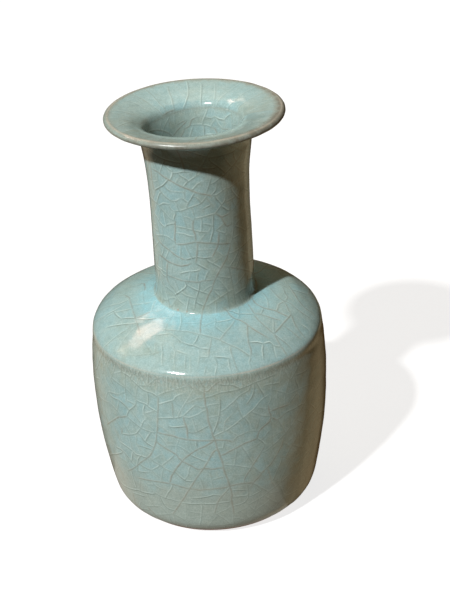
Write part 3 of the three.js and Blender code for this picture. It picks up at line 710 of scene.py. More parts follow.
# points of the mesh: along each line a dark row, a pale row on its upper side and a plain row on either side; the pale
# row is a painted highlight on the side towards the light and the dark row is partly painted shade
# the side of each line that gets the painted highlight: up and a little left as the camera sees it, towards the key
# light
LIGHT_SIDE = -0.35 * RIGHT + 0.94 * UP
pool = {"t": [], "s": [], "v": []}
grid = {}


def fill_cell(t, s):
    i = int(s / 0.6)
    n = int(TAU * float(r_at((i + 0.5) * 0.6)) / 0.6)
    return i, n


CELL_N = np.maximum(8, (TAU * r_at((np.arange(int(S_END / 0.6) + 3) + 0.5) * 0.6) / 0.6).astype(int))


def clear(t, s, least):
    """True if no point is nearer than least (up to 2.4 mm)."""
    i = int(s / 0.6)
    r = float(r_at(s))
    reach = int(least / 0.6) + 1
    u = (t - CUT) / TAU
    lim = least * least
    for a in range(max(0, i - reach), min(len(CELL_N), i + reach + 1)):
        n = int(CELL_N[a])
        j = int(u * n)
        for b in range(j - reach, j + reach + 1):
            for (pt, ps) in grid.get((a, b % n), ()):
                dx = ((pt - t + math.pi) % TAU - math.pi) * r
                dy = ps - s
                if dx * dx + dy * dy < lim:
                    return False
    return True


def put(t, s, value, least):
    t = float(wrap(t))
    if not clear(t, s, least):
        return False
    i = int(s / 0.6)
    n = int(CELL_N[i])
    grid.setdefault((i, int((t - CUT) / TAU * n) % n), []).append((t, s))
    pool["t"].append(t)
    pool["s"].append(s)
    pool["v"].append(value)
    return True


def line_frame(first, last):
    t, s = np.unwrap(VT[first:last]), VS[first:last]
    r = r_at(s)
    dx, dy = np.gradient(t) * r, np.gradient(s)
    m = np.hypot(dx, dy) + 1e-9
    nx, ny = -dy / m, dx / m
    tr, tz = np.interp(s, S, NZ), -np.interp(s, S, NR)
    c, d = np.cos(t), np.sin(t)
    world = nx[:, None] * np.stack([-d, c, 0 * c], -1) + ny[:, None] * np.stack([tr * c, tr * d, tz], -1)
    lit = world @ LIGHT_SIDE
    if lit.mean() < 0:
        nx, ny = -nx, -ny
    return t, s, r, nx, ny, np.clip(np.abs(lit), 0, 1)


weights = []
for (kind, order, first, last), force in zip(lines, FORCE):
    g = np.random.default_rng(order + 11)
    if kind == "e":
        w = (0.0, 0.0, 0.0)
    elif kind == "b":
        w = (g.uniform(0.25, 0.5), g.uniform(0.4, 0.75), g.uniform(0.25, 0.6))
    else:
        f = g.uniform(0.5, 1.15)                                      # some lines are much fainter than others
        w = (f * g.uniform(0.5, 1.0), g.uniform(0.0, 0.10), f * g.uniform(0.55, 1.0))
    mid = VS[(first + last) // 2]
    if s_out(121.0) < mid < s_out(107.0) and kind != "e":         # brown shows less on the shoulder
        w = (1.3 * w[0], 0.65 * w[1], 1.5 * w[2])
        if bump_at(VT[(first + last) // 2], -105, 42) > 0.05:
            w = tuple(0.78 * v for v in w)
    elif mid < s_in(217.0) or s_out(214.0) < mid < s_out(124.0):     # lines are sharper on the neck and in the bore
        w = (1.25 * w[0], w[1], 1.3 * w[2])
    weights.append(tuple(force * v for v in w))

# across a line, mm: its dark middle, the pale lit edge, and where it ends on either side
ACROSS = (0.0, 0.52, -0.70, 1.05)


def strength(w, row, lit):
    """(dark, brown, pale) of a row: the pale row is a painted highlight and the dark middle partly painted shade, both
    weaker on lines that run towards the light.
    """
    if row == 0:
        return w[0] * (0.45 + 0.55 * lit), w[1], 0.0
    if row == 1:
        return 0.0, (0.45 * w[1] if w[1] > 0.3 else 0.0), w[2] * (0.3 + 0.7 * lit)
    return 0.0, 0.0, 0.0


# rings where two pieces of glaze meet: both use the same points, with the lines that cross them
rings = {}
for edge in (S0, B_NECK, B_SHOULDER, B_BODY, S_END):
    marks = []
    if edge not in (S0, S_END):
        for w, (kind, order, first, last) in zip(weights, lines):
            t, s, r, nx, ny, lit = line_frame(first, last)
            for k in np.nonzero((s[:-1] - edge) * (s[1:] - edge) < 0)[0]:
                f = (edge - s[k]) / (s[k + 1] - s[k])
                across = min(3.0, 1.0 / max(0.05, abs(nx[k]))) * (1 if nx[k] > 0 else -1)
                at = t[k] + f * (t[k + 1] - t[k])
                for row, off in enumerate(ACROSS):
                    marks.append((row == 0, float(wrap(at + off * across / r[k])), strength(w, row, lit[k])))
    marks.sort(key=lambda q: not q[0])
    r = float(r_at(edge))
    ring = []
    for first, t, value in marks:
        if all(abs((t - q[0] + math.pi) % TAU - math.pi) * r > 0.28 for q in ring):
            ring.append((t, value))
    n = int(TAU * r / 1.6)
    for t in wrap(np.arange(n) * TAU / n + 0.003):
        if all(abs((t - q[0] + math.pi) % TAU - math.pi) * r > 0.7 for q in ring):
            ring.append((float(t), (0, 0, 0)))
    ring.sort()
    rings[edge] = ring
    for t, value in ring:
        put(t, edge, value, 0.0)
ring_points = len(pool["t"])

EDGES = np.array(sorted(rings))


def off_edge(s, least=0.33):
    return S0 + least < s < S_END - least and np.abs(EDGES - s).min() > least


jobs = sorted(range(len(lines)), key=lambda k: (lines[k][0] != "b" or k >= TRACED, k >= TRACED, k))
frames = {k: line_frame(lines[k][2], lines[k][3]) for k in jobs}
for row, least, gap_mm in ((0, 0.3, 0.56), (1, 0.28, 0.6), (2, 0.33, 0.9), (3, 0.33, 0.95)):
    off = ACROSS[row]
    for k in jobs:
        t, s, r, nx, ny, lit = frames[k]
        a, b = t + off * nx / r, s + off * ny
        d = np.concatenate([[0], np.cumsum(np.hypot(np.diff(a) * r[1:], np.diff(b)))])
        if d[-1] < 0.8:
            continue
        q = np.linspace(0, d[-1], max(2, int(round(d[-1] / gap_mm))) + 1)
        a, b, lit = np.interp(q, d, a), np.interp(q, d, b), np.interp(q, d, lit)
        # a line is stronger and weaker along its way
        g = np.random.default_rng(lines[k][1] + 77)
        ph = g.uniform(0, TAU, 3)
        fade = 0.84 + 0.1 * np.sin(q * 0.55 + ph[0]) + 0.1 * np.sin(q * 1.3 + ph[1]) + 0.06 * np.sin(q * 3.1 + ph[2])
        # and thins out at an open end
        fade *= np.clip(0.35 + np.minimum(q, d[-1] - q) / 3.0, 0, 1)
        for u, v, f, e in zip(a, b, fade, lit):
            if off_edge(v):
                put(u, float(v), tuple(f * x for x in strength(weights[k], row, e)), least)
print("line points: %d" % len(pool["t"]))


def mesh_step(s):
    """Size of the plain triangles, small where the profile bends sharply."""
    return float(np.interp(s, STEP_S, STEP_H))


bend = np.abs(np.gradient(np.unwrap(np.arctan2(NZ, NR)), S))
bend = np.convolve(bend, np.ones(31) / 31, "same")
STEP_S, STEP_H = S, np.clip(0.16 / (bend + 1e-6), 0.55, 2.3)
STEP_H = np.convolve(np.pad(STEP_H, 20, mode="edge"), np.ones(41) / 41, "valid")
s = S0 + 0.5
while s < S_END - 0.3:
    h = mesh_step(s)
    r = float(r_at(s))
    n = int(TAU * r / h)
    for t in (np.arange(n) + rng.uniform(0, 1)) * TAU / n + rng.uniform(-0.2, 0.2, n) * h / r:
        b = s + rng.uniform(-0.2, 0.2) * h
        if off_edge(b, 0.4 * h):
            put(t, b, (0, 0, 0), 0.55 * h)
    s += 0.87 * h
print("mesh points: %d" % len(pool["t"]))

PT, PS = np.array(pool["t"]), np.array(pool["s"])
PV = np.array(pool["v"], float).reshape(-1, 3)
CONF = np.concatenate([[0], np.cumsum(0.5 * (1 / R[1:] + 1 / R[:-1]) * np.diff(S))])    # equal-angle length


# plates: the glaze between the lines, each with its own shade
plate = np.where(taken, -1, 0).ravel().tolist()
names = 0
for start in range(NS * NT):
    if plate[start]:
        continue
    names += 1
    plate[start] = names
    stack = [start]
    while stack:
        at = stack.pop()
        i, j = divmod(at, NT)
        for q in (at - NT, at + NT, i * NT + (j + 1) % NT, i * NT + (j - 1) % NT):
            if 0 <= q < NS * NT and plate[q] == 0:
                plate[q] = names
                stack.append(q)
plate = np.array(plate).reshape(NS, NT)
SHADES = np.random.default_rng(88).normal(0, 1, names + 2)
SHADES[-1] = 0.8                 # along the lines, where plate is -1
print("plates: %d" % names)


def tint_of(t, s):
    """Shade of the glaze: above 0 greyer, below 0 bluer. Part of it is painted light colour, bluer on the lit left and
    greyer on the shaded right of neck and body, and painted shade greying the throat.
    """
    i, j = cells(t, s)
    z = np.interp(s, S, Z)
    out = 0.30 * np.clip(SHADES[plate[i, j]], -2, 2)
    dish = smooth(s_in(216.0), s_in(219.0), s) * (1 - smooth(S_LIP - 4, S_LIP, s))
    out = out + dish * (0.15 * bump_at(t, 190, 100) + 0.5 * bump_at(t, -80, 90) - 0.7 * bump_at(t, 85, 100))
    # painted shade: greyer inside the throat
    out = out + 0.15 * (1 - smooth(s_in(214.0), s_in(218.0), s))
    out = out + 0.45 * smooth(s_out(138), s_out(127), s) * (1 - smooth(s_out(124.2), s_out(123.0), s))
    neck = smooth(s_out(216), s_out(205), s) * (1 - smooth(s_out(132), s_out(124), s))
    # painted light colour: the neck is greyer on its shaded right and bluer on its lit left
    out = out + neck * (0.72 * bump_at(t, -20, 85) - 0.3 * bump_at(t, -140, 80))
    top = smooth(s_out(122), s_out(117), s) * (1 - smooth(s_out(108), s_out(105), s))
    out = out + top * (0.12 * bump_at(t, -150, 60) - 0.30 * bump_at(t, -60, 75) - 0.5 * bump_at(t, 188, 48))
    wall = smooth(s_out(106), s_out(104), s)
    under = wall * (1 - smooth(s_out(99), s_out(87), s))
    out = out + under * (0.55 + 0.5 * bump_at(t, -50, 75))
    # painted light colour: the body is greyer on its shaded right and bluer on its lit left
    return out + wall * (0.5 * bump_at(t, -15, 75) - 0.2 * bump_at(t, -125, 60))


def crest_wear_and_highlight(t, s):
    """Above 0: the pale crest of the lip and of the shoulder's edge, worn glaze with a painted highlight along it;
    below 0: dense fine crazing.
    """
    a = np.asarray(t, float)
    patch = 0.75 + 0.18 * np.sin(5 * a + 1.0) + 0.14 * np.sin(11 * a + 2.0) + 0.1 * np.sin(23 * a)
    lip = (0.55 + 0.45 * bump_at(t, -140, 110)) * np.exp(-((s - S_LIP - 0.35) / 0.55) ** 2)
    ridge = (0.45 + 0.35 * bump_at(t, -55, 45)) * np.exp(-((s - S_RIDGE) / 0.75) ** 2)
    band = smooth(S_RIDGE + 0.6, S_RIDGE + 2.2, s) * (1 - smooth(S_RIDGE + 5.5, S_RIDGE + 12.0, s))
    return (lip + ridge) * patch - band


def thin_glaze(t, s):
    """How thin the glaze ran: 1 at sharp edges, 0 on the wall, below 0 where it pooled. It also carries painted shade:
    darker on the lip's shaded right side and lower edge, under the shoulder's edge on the left and on the throat's
    left side, and lighter on the lip's lit left.
    """
    z = np.interp(s, S, Z)
    right = bump_at(t, -10, 80)
    # the lip's band: thin glaze, browner on its shaded right and lighter on its lit left as painted shade and light
    out = (0.80 + 0.42 * right - 0.36 * bump_at(t, -165, 60)) * smooth(S_LIP - 2.2 - 3.0 * right, S_LIP + 0.2, s) * (1 - smooth(S_LIP + 4.6, S_LIP + 9.0, s))
    # the lip's lower edge is dark: thin glaze and painted shade under the lip
    out = np.maximum(out, 0.95 * np.exp(-((s - S_LOWER) / 0.8) ** 2))
    out = np.maximum(out, 0.8 * (1 - bump_at(t, -90, 120)) * np.exp(-((s - S_LIP) / 1.1) ** 2))
    out = np.maximum(out, 0.3 * np.exp(-((s - S_EDGE) / 0.6) ** 2))
    out = out - 0.95 * smooth(s_in(218.0), s_in(220.5), s) * (1 - smooth(S_LIP - 12, S_LIP - 3, s))
    out = np.maximum(out, np.where(s > s_out(20), 0.75 * smooth(8.0, 2.7, z), 0))
    # painted shade: a darker band under the shoulder's edge on the left
    out = np.maximum(out, 0.42 * bump_at(t, -152, 52) * np.exp(-((s - S_RIDGE - 2.6) / 1.7) ** 2))
    # painted shade: the throat's shaded left side is darker
    out = np.maximum(out, 0.85 * bump_at(t, 197, 52) * (1 - smooth(s_in(218.6), s_in(221.4), s)))
    foot = S_FOOT - 0.6
    pool_ = smooth(foot - 0.9, foot + 1.1, s) * (np.exp(-((s - foot) / 8.0) ** 2) + 0.45 * np.exp(-((s - foot - 7) / 9.0) ** 2))
    return out - 0.95 * np.minimum(1.0, pool_) - 0.8 * bump_at(t, -140, 32) * smooth(0.35, 0.9, pool_)


# ---------------------------------------------------------------- mesh helpers
def link(name, mesh):
    o = bpy.data.objects.new(name, mesh)
    bpy.context.scene.collection.objects.link(o)
    return o


def make_mesh(name, verts_mm, faces, uvs, normals=None, values=None, **shades):
    """faces: lists of corner indices; uvs: one (u, v) per corner in the same order."""
    me = bpy.data.meshes.new(name)
    me.from_pydata([tuple(v) for v in (np.asarray(verts_mm) * 0.001).tolist()], [], faces)
    me.update()
    uv = me.uv_layers.new(name="OFBake")
    uv.data.foreach_set("uv", np.asarray(uvs, np.float32).ravel())
    if values is not None:
        at = me.attributes.new("crackle", "FLOAT_VECTOR", "POINT")
        at.data.foreach_set("vector", np.asarray(values, np.float32).ravel())
    for key, column in shades.items():
        at = me.attributes.new(key, "FLOAT", "POINT")
        at.data.foreach_set("value", np.asarray(column, np.float32))
    me.polygons.foreach_set("use_smooth", [True] * len(me.polygons))
    if normals is not None:
        me.normals_split_custom_set_from_vertices([tuple(v) for v in np.asarray(normals).tolist()])
    return me


def glaze_piece(name, lo, hi, depth=0.5):
    """A closed shell of glaze between two rings: crackled face outside, plain face on the clay's side."""
    inside = np.nonzero((PS > lo - 1e-9) & (PS < hi + 1e-9))[0]
    t, s = PT[inside], PS[inside]
    y = np.interp(s, S, CONF)
    margin = 0.4
    left = np.nonzero(t - CUT > TAU - margin)[0]
    right = np.nonzero(t - CUT < margin)[0]
    own = np.concatenate([np.arange(len(t)), left, right])
    x = np.concatenate([t, t[left] - TAU, t[right] + TAU])
    yy = np.concatenate([y, y[left], y[right]])
    out = delaunay_2d_cdt([Vector((a, b)) for a, b in zip(x.tolist(), yy.tolist())], [], [], 0, 1e-9, True)
    pts, tris, back = out[0], out[2], out[3]
    faces, uvs = [], []
    v_of = 0.03 + 0.96 * (s - lo) / (hi - lo)
    seen = set()
    for tri in tris:
        ids = [back[k][0] for k in tri]
        xs = [x[k] for k in ids]
        mid = sum(xs) / 3.0
        if not (CUT <= mid < CUT + TAU):
            continue
        ring = [int(own[k]) for k in ids]
        if len(set(ring)) < 3:
            continue
        key = tuple(sorted(ring))
        if key in seen:
            continue
        seen.add(key)
        # flat slivers along a ring have no area
        if max(s[k] for k in ring) - min(s[k] for k in ring) < 1e-6:
            continue
        order = (0, 2, 1)
        a, b, c = (ids[k] for k in order)
        if (x[b] - x[a]) * (yy[c] - yy[a]) - (x[c] - x[a]) * (yy[b] - yy[a]) > 0:
            order = (0, 1, 2)
        faces.append([ring[k] for k in order])
        uvs += [(0.02 + 0.96 * (x[ids[k]] - CUT) / TAU, v_of[ring[k]]) for k in order]
    sunk = PV[inside] @ np.array([0.030, 0.020, -0.008])
    p, nrm = surface(t, s, sunk)
    values = PV[inside]
    shades = {"thin": thin_glaze(t, s), "tint": tint_of(t, s), "edge": crest_wear_and_highlight(t, s)}
    # plain back
    edge = []
    for end in (lo, hi):
        at = np.nonzero(np.abs(s - end) < 1e-9)[0]
        edge.append(at[np.argsort(t[at])])
    levels = [lo]
    while levels[-1] < hi - 0.8:
        levels.append(min(hi, levels[-1] + max(0.8, min(6.0, 2.2 * mesh_step(levels[-1])))))
    levels[-1] = hi
    base = len(p)
    vb, nb = [p], [nrm]
    rows_b = []
    for k, lev in enumerate(levels):
        if k == 0:
            tt = t[edge[0]]
        elif k == len(levels) - 1:
            tt = t[edge[1]]
        else:
            tt = CUT + np.arange(96) * TAU / 96
        q, n2 = surface(tt, np.full(len(tt), lev), np.full(len(tt), depth))
        rows_b.append((base, tt))
        base += len(tt)
        vb.append(q)
        nb.append(-n2)
    total = len(levels) - 1

    def strip(a, b, v0, v1, flip):
        """Joins two rings of different counts by walking round both."""
        (ia, ta), (ib, tb) = a, b
        na, nb_ = len(ta), len(tb)
        ua = np.concatenate([ta, [ta[0] + TAU]])
        ub = np.concatenate([tb, [tb[0] + TAU]])
        i = j = 0
        while i < na or j < nb_:
            go_a = j >= nb_ or (i < na and ua[i + 1] <= ub[j + 1])
            if go_a:
                tri = [(ia[i % na], ua[i], v0), (ia[(i + 1) % na], ua[i + 1], v0), (ib[j % nb_], ub[j], v1)]
                i += 1
            else:
                tri = [(ia[i % na], ua[i], v0), (ib[(j + 1) % nb_], ub[j + 1], v1), (ib[j % nb_], ub[j], v1)]
                j += 1
            if flip:
                tri = tri[::-1]
            faces.append([q[0] for q in tri])
            uvs.extend([(0.02 + 0.96 * (q[1] - CUT) / TAU, q[2]) for q in tri])

    rings_b = [([r0 + k for k in range(len(tt))], tt) for r0, tt in rows_b]
    for k in range(total):
        v0, v1 = 0.004 + 0.012 * k / total, 0.004 + 0.012 * (k + 1) / total
        strip(rings_b[k], rings_b[k + 1], v0, v1, False)
    strip(([int(v) for v in edge[0]], t[edge[0]]), rings_b[0], 0.0185, 0.0215, False)
    strip(rings_b[-1], ([int(v) for v in edge[1]], t[edge[1]]), 0.023, 0.026, False)
    verts = np.vstack(vb)
    extra = len(verts) - len(p)
    me = make_mesh(name, verts, faces, uvs, np.vstack(nb), np.vstack([values, np.zeros((extra, 3))]),
                   **{key: np.concatenate([column, np.zeros(extra)]) for key, column in shades.items()})
    return link(name, me)


def lathe(name, outline, segments, wave=0.0, seed=0):
    """A closed ring or disc turned from a closed outline of (r, z) mm, with points on the axis welded."""
    g = np.random.default_rng(seed)
    verts, ids = [], []
    ph = g.uniform(0, TAU, 6)
    t = np.arange(segments) * TAU / segments + CUT
    for r, z in outline:
        if r < 1e-6:
            ids.append([len(verts)] * segments)
            verts.append((0.0, 0.0, z))
            continue
        d = wave * sum(np.sin((k + 2) * t + ph[k]) / (k + 1) for k in range(6))
        ids.append(list(range(len(verts), len(verts) + segments)))
        verts += [(float((r + e) * math.cos(a)), float((r + e) * math.sin(a)), z) for a, e in zip(t, d)]
    faces, uvs = [], []
    m = len(outline)
    length = [0.0]
    for k in range(m):
        a, b = outline[k], outline[(k + 1) % m]
        length.append(length[-1] + math.hypot(b[0] - a[0], b[1] - a[1]))
    for k in range(m):
        a, b = ids[k], ids[(k + 1) % m]
        if outline[k][0] < 1e-6 and outline[(k + 1) % m][0] < 1e-6:
            continue
        v0, v1 = 0.01 + 0.98 * length[k] / length[-1], 0.01 + 0.98 * length[k + 1] / length[-1]
        for i in range(segments):
            j = (i + 1) % segments
            u0, u1 = 0.01 + 0.98 * i / segments, 0.01 + 0.98 * (i + 1) / segments
            q = [(a[i], u0, v0), (a[j], u1, v0), (b[j], u1, v1), (b[i], u0, v1)]
            keep = []
            for c in q:
                if not keep or all(c[0] != e[0] for e in keep):
                    keep.append(c)
            if len(keep) >= 3:
                faces.append([c[0] for c in keep])
                uvs += [(c[1], c[2]) for c in keep]
    return link(name, make_mesh(name, verts, faces, uvs))


# ---------------------------------------------------------------- materials
def tree(name):
    mat = bpy.data.materials.new(name)
    mat.use_nodes = True
    nt = mat.node_tree
    nt.nodes.clear()
    out = nt.nodes.new("ShaderNodeOutputMaterial")
    bsdf = nt.nodes.new("ShaderNodeBsdfPrincipled")
    nt.links.new(bsdf.outputs[0], out.inputs[0])
    return mat, nt, bsdf


def node(nt, kind, **sets):
    n = nt.nodes.new(kind)
    for key, value in sets.items():
        if key.startswith("in_"):
            n.inputs[key[3:].replace("_", " ")].default_value = value
        else:
            setattr(n, key, value)
    return n


def noise(nt, coord, scale, detail=3.0, rough=0.55, distort=0.0):
    n = node(nt, "ShaderNodeTexNoise")
    n.inputs["Scale"].default_value = scale
    n.inputs["Detail"].default_value = detail
    n.inputs["Roughness"].default_value = rough
    n.inputs["Distortion"].default_value = distort
    nt.links.new(coord, n.inputs["Vector"])
    return n.outputs["Fac"]


def span(nt, value, a, b, c=0.0, d=1.0):
    n = node(nt, "ShaderNodeMapRange", clamp=True)
    for key, v in zip(("From Min", "From Max", "To Min", "To Max"), (a, b, c, d)):
        n.inputs[key].default_value = v
    nt.links.new(value, n.inputs["Value"])
    return n.outputs[0]


def calc(nt, op, a, b=None):
    n = node(nt, "ShaderNodeMath", operation=op)
    for k, v in enumerate((a, b)):
        if v is None:
            continue
        if isinstance(v, (int, float)):
            n.inputs[k].default_value = v
        else:
            nt.links.new(v, n.inputs[k])
    return n.outputs[0]


def mix(nt, fac, a, b, blend="MIX"):
    n = node(nt, "ShaderNodeMix", data_type="RGBA", blend_type=blend)
    for key, v in ((0, fac), (6, a), (7, b)):
        if isinstance(v, (int, float)):
            n.inputs[key].default_value = v
        elif isinstance(v, tuple):
            n.inputs[key].default_value = (*v, 1.0)
        else:
            nt.links.new(v, n.inputs[key])
    return n.outputs[2]


def glaze_material(name, crackled=True):
    mat, nt, bsdf = tree(name)
    pos = node(nt, "ShaderNodeTexCoord").outputs["Object"]
    wide = noise(nt, pos, 17.0, 3.0, 0.5)
    mid = noise(nt, pos, 70.0, 4.0, 0.6)
    fine = noise(nt, pos, 520.0, 3.0, 0.6)
    grain = noise(nt, pos, 1500.0, 2.0, 0.5)
    shade = calc(nt, "ADD", span(nt, wide, 0.3, 0.7, -0.3, 0.3), span(nt, noise(nt, pos, 170.0, 3.0, 0.6), 0.3, 0.7, -0.42, 0.42))
    if crackled:
        shade = calc(nt, "ADD", shade, node(nt, "ShaderNodeAttribute", attribute_name="tint").outputs["Fac"])
    col = mix(nt, span(nt, shade, -1.0, 0.0), GLAZE_BLUE, GLAZE_MID)
    col = mix(nt, span(nt, shade, 0.0, 1.0), col, GLAZE_GREEN)
    col = mix(nt, span(nt, mid, 0.48, 0.72, 0.0, 0.35), col, GLAZE_PALE)
    cloud = noise(nt, pos, 300.0, 3.0, 0.55)
    col = mix(nt, span(nt, cloud, 0.5, 0.72, 0.0, 0.38), col, GLAZE_PALE)
    col = mix(nt, span(nt, cloud, 0.5, 0.28, 0.0, 0.12), col, (0.30, 0.33, 0.31), "MULTIPLY")
    # the glaze is greyer and warmer low on the wall: painted warm light bounced up from below
    low = node(nt, "ShaderNodeSeparateXYZ")
    nt.links.new(pos, low.inputs[0])
    h = calc(nt, "ADD", low.outputs[2], calc(nt, "MULTIPLY", calc(nt, "SUBTRACT", wide, 0.5), 0.03))
    h = calc(nt, "ADD", h, calc(nt, "MULTIPLY", calc(nt, "SUBTRACT", mid, 0.5), 0.030))
    col = mix(nt, span(nt, h, 0.041, 0.030, 0.0, 0.72), col, GLAZE_GREY)
    if crackled:
        thin = node(nt, "ShaderNodeAttribute", attribute_name="thin").outputs["Fac"]
        thin = calc(nt, "MULTIPLY", thin, span(nt, noise(nt, pos, 240.0, 3.0, 0.6), 0.34, 0.62, 0.65, 1.1))
        edge = node(nt, "ShaderNodeAttribute", attribute_name="edge").outputs["Fac"]
        # thin and pooled glaze, and the painted shade that the same attribute carries
        col = mix(nt, span(nt, thin, 0.0, -1.0), col, GLAZE_POOL)
        col = mix(nt, span(nt, thin, 0.0, 0.5), col, GLAZE_WORN_AND_SHADE)
        col = mix(nt, span(nt, thin, 0.5, 1.0), col, GLAZE_THIN_AND_SHADE)
        sep = node(nt, "ShaderNodeSeparateXYZ")
        nt.links.new(node(nt, "ShaderNodeAttribute", attribute_name="crackle").outputs["Vector"], sep.inputs[0])
        dark, brown, pale = sep.outputs
    else:
        vor = node(nt, "ShaderNodeTexVoronoi", feature="DISTANCE_TO_EDGE")
        vor.inputs["Scale"].default_value = 95.0
        warp = node(nt, "ShaderNodeVectorMath", operation="MULTIPLY_ADD")
        wn = node(nt, "ShaderNodeTexNoise")
        wn.inputs["Scale"].default_value = 60.0
        nt.links.new(pos, wn.inputs["Vector"])
        nt.links.new(wn.outputs["Color"], warp.inputs[0])
        warp.inputs[1].default_value = (0.004, 0.004, 0.004)
        nt.links.new(pos, warp.inputs[2])
        nt.links.new(warp.outputs[0], vor.inputs["Vector"])
        edge = vor.outputs["Distance"]
        dark = span(nt, edge, 0.03, 0.0, 0.0, 0.55)
        brown = calc(nt, "MULTIPLY", dark, span(nt, wide, 0.45, 0.55, 0.1, 0.9))
        # a pale fringe beside the lines: painted highlight
        pale = calc(nt, "MULTIPLY", span(nt, edge, 0.02, 0.05), span(nt, edge, 0.09, 0.05, 0.0, 0.6))
    # hair-fine crazing between the lines
    craze = node(nt, "ShaderNodeTexVoronoi", feature="DISTANCE_TO_EDGE")
    craze.inputs["Scale"].default_value = 360.0
    bent = node(nt, "ShaderNodeVectorMath", operation="MULTIPLY_ADD")
    bend = node(nt, "ShaderNodeTexNoise")
    bend.inputs["Scale"].default_value = 210.0
    nt.links.new(pos, bend.inputs["Vector"])
    nt.links.new(bend.outputs["Color"], bent.inputs[0])
    bent.inputs[1].default_value = (0.003, 0.003, 0.003)
    nt.links.new(pos, bent.inputs[2])
    nt.links.new(bent.outputs[0], craze.inputs["Vector"])
    hair = calc(nt, "MULTIPLY", span(nt, craze.outputs["Distance"], 0.14, 0.02), span(nt, noise(nt, pos, 150.0, 2.0, 0.5), 0.4, 0.62, 0.15, 1.0))
    col = mix(nt, calc(nt, "MULTIPLY", hair, 0.13), col, (0.52, 0.61, 0.56))
    if crackled:
        # short upright hairs under the edge of the shoulder
        band = span(nt, edge, 0.0, -1.0)
        for shift, tone, amount in ((0.0, (0.52, 0.57, 0.50), 0.42), (0.00026, (0.17, 0.19, 0.16), 0.26)):
            tall = node(nt, "ShaderNodeVectorMath", operation="MULTIPLY_ADD")
            nt.links.new(bent.outputs[0], tall.inputs[0])
            tall.inputs[1].default_value = (1.0, 1.0, 0.36)
            tall.inputs[2].default_value = (shift, shift, 0.0)
            cell = node(nt, "ShaderNodeTexVoronoi", feature="DISTANCE_TO_EDGE")
            cell.inputs["Scale"].default_value = 640.0
            nt.links.new(tall.outputs[0], cell.inputs["Vector"])
            mark = calc(nt, "MULTIPLY", calc(nt, "MULTIPLY", span(nt, cell.outputs["Distance"], 0.16, 0.02), band), amount)
            col = mix(nt, mark, col, tone)
        # pale crests of the lip and the shoulder's edge: worn glaze and a painted highlight
        col = mix(nt, span(nt, edge, 0.0, 1.0, 0.0, 0.85), col, (0.62, 0.56, 0.46))
    col = mix(nt, span(nt, fine, 0.25, 0.75, 0.0, 0.14), col, (0.16, 0.20, 0.17), "MULTIPLY")
    col = mix(nt, span(nt, grain, 0.3, 0.7, 0.0, 0.26), col, (0.2, 0.24, 0.21), "MULTIPLY")
    # the lines' pale edge is a painted highlight and their dark middle partly painted shade
    col = mix(nt, calc(nt, "MULTIPLY", pale, CRACK_PALE_HIGHLIGHT), col, (0.575, 0.740, 0.690))
    col = mix(nt, calc(nt, "MULTIPLY", dark, CRACK_DARK), col, (0.135, 0.180, 0.163))
    col = mix(nt, calc(nt, "MULTIPLY", brown, CRACK_BROWN), col, (0.258, 0.222, 0.168))
    nt.links.new(col, bsdf.inputs["Base Color"])
    rough = calc(nt, "ADD", span(nt, mid, 0.3, 0.7, 0.10, 0.15), calc(nt, "MULTIPLY", dark, 0.12))
    if crackled:
        rough = calc(nt, "ADD", rough, span(nt, thin, 0.3, 0.8, 0.0, 0.22))
        rough = calc(nt, "ADD", rough, span(nt, thin, -1.06, -1.5, 0.0, 0.32))
    nt.links.new(rough, bsdf.inputs["Roughness"])
    bsdf.inputs["IOR"].default_value = 1.5
    bump = node(nt, "ShaderNodeBump")
    bump.inputs["Strength"].default_value = 0.35
    bump.inputs["Distance"].default_value = 0.0001
    height = calc(nt, "ADD", calc(nt, "MULTIPLY", grain, 0.45), calc(nt, "MULTIPLY", fine, 0.5))
    nt.links.new(height, bump.inputs["Height"])
    nt.links.new(bump.outputs[0], bsdf.inputs["Normal"])
    return mat


def clay_material(name, base, dark, spot):
    """Bare stoneware: uneven burn, sandy grain and iron specks."""
    mat, nt, bsdf = tree(name)
    pos = node(nt, "ShaderNodeTexCoord").outputs["Object"]
    wide, mid, sand = noise(nt, pos, 30.0), noise(nt, pos, 160.0, 5.0, 0.65), noise(nt, pos, 1400.0, 3.0, 0.7)
    col = mix(nt, span(nt, wide, 0.35, 0.65), base, dark)
    col = mix(nt, span(nt, mid, 0.42, 0.75, 0.0, 0.5), col, spot)
    specks = node(nt, "ShaderNodeTexVoronoi")
    specks.inputs["Scale"].default_value = 420.0
    nt.links.new(pos, specks.inputs["Vector"])
    col = mix(nt, span(nt, specks.outputs["Distance"], 0.22, 0.1, 0.0, 0.6), col, (0.05, 0.032, 0.02))
    col = mix(nt, span(nt, sand, 0.3, 0.7, 0.0, 0.35), col, (0.3, 0.26, 0.22), "MULTIPLY")
    nt.links.new(col, bsdf.inputs["Base Color"])
    nt.links.new(span(nt, mid, 0.3, 0.7, 0.72, 0.9), bsdf.inputs["Roughness"])
    bump = node(nt, "ShaderNodeBump")
    bump.inputs["Strength"].default_value = 0.6
    bump.inputs["Distance"].default_value = 0.0003
    nt.links.new(calc(nt, "ADD", sand, calc(nt, "MULTIPLY", mid, 0.6)), bump.inputs["Height"])
    nt.links.new(bump.outputs[0], bsdf.inputs["Normal"])
    return mat


GLAZE_BLUE = (0.332, 0.524, 0.540)
GLAZE_MID = (0.347, 0.492, 0.476)
GLAZE_GREEN = (0.368, 0.455, 0.395)
GLAZE_PALE = (0.400, 0.540, 0.530)
GLAZE_GREY = (0.385, 0.448, 0.395)
GLAZE_WORN_AND_SHADE = (0.318, 0.368, 0.322)
GLAZE_THIN_AND_SHADE = (0.205, 0.200, 0.160)
GLAZE_POOL = (0.324, 0.576, 0.615)
CRACK_PALE_HIGHLIGHT, CRACK_DARK, CRACK_BROWN = 0.76, 0.86, 0.76

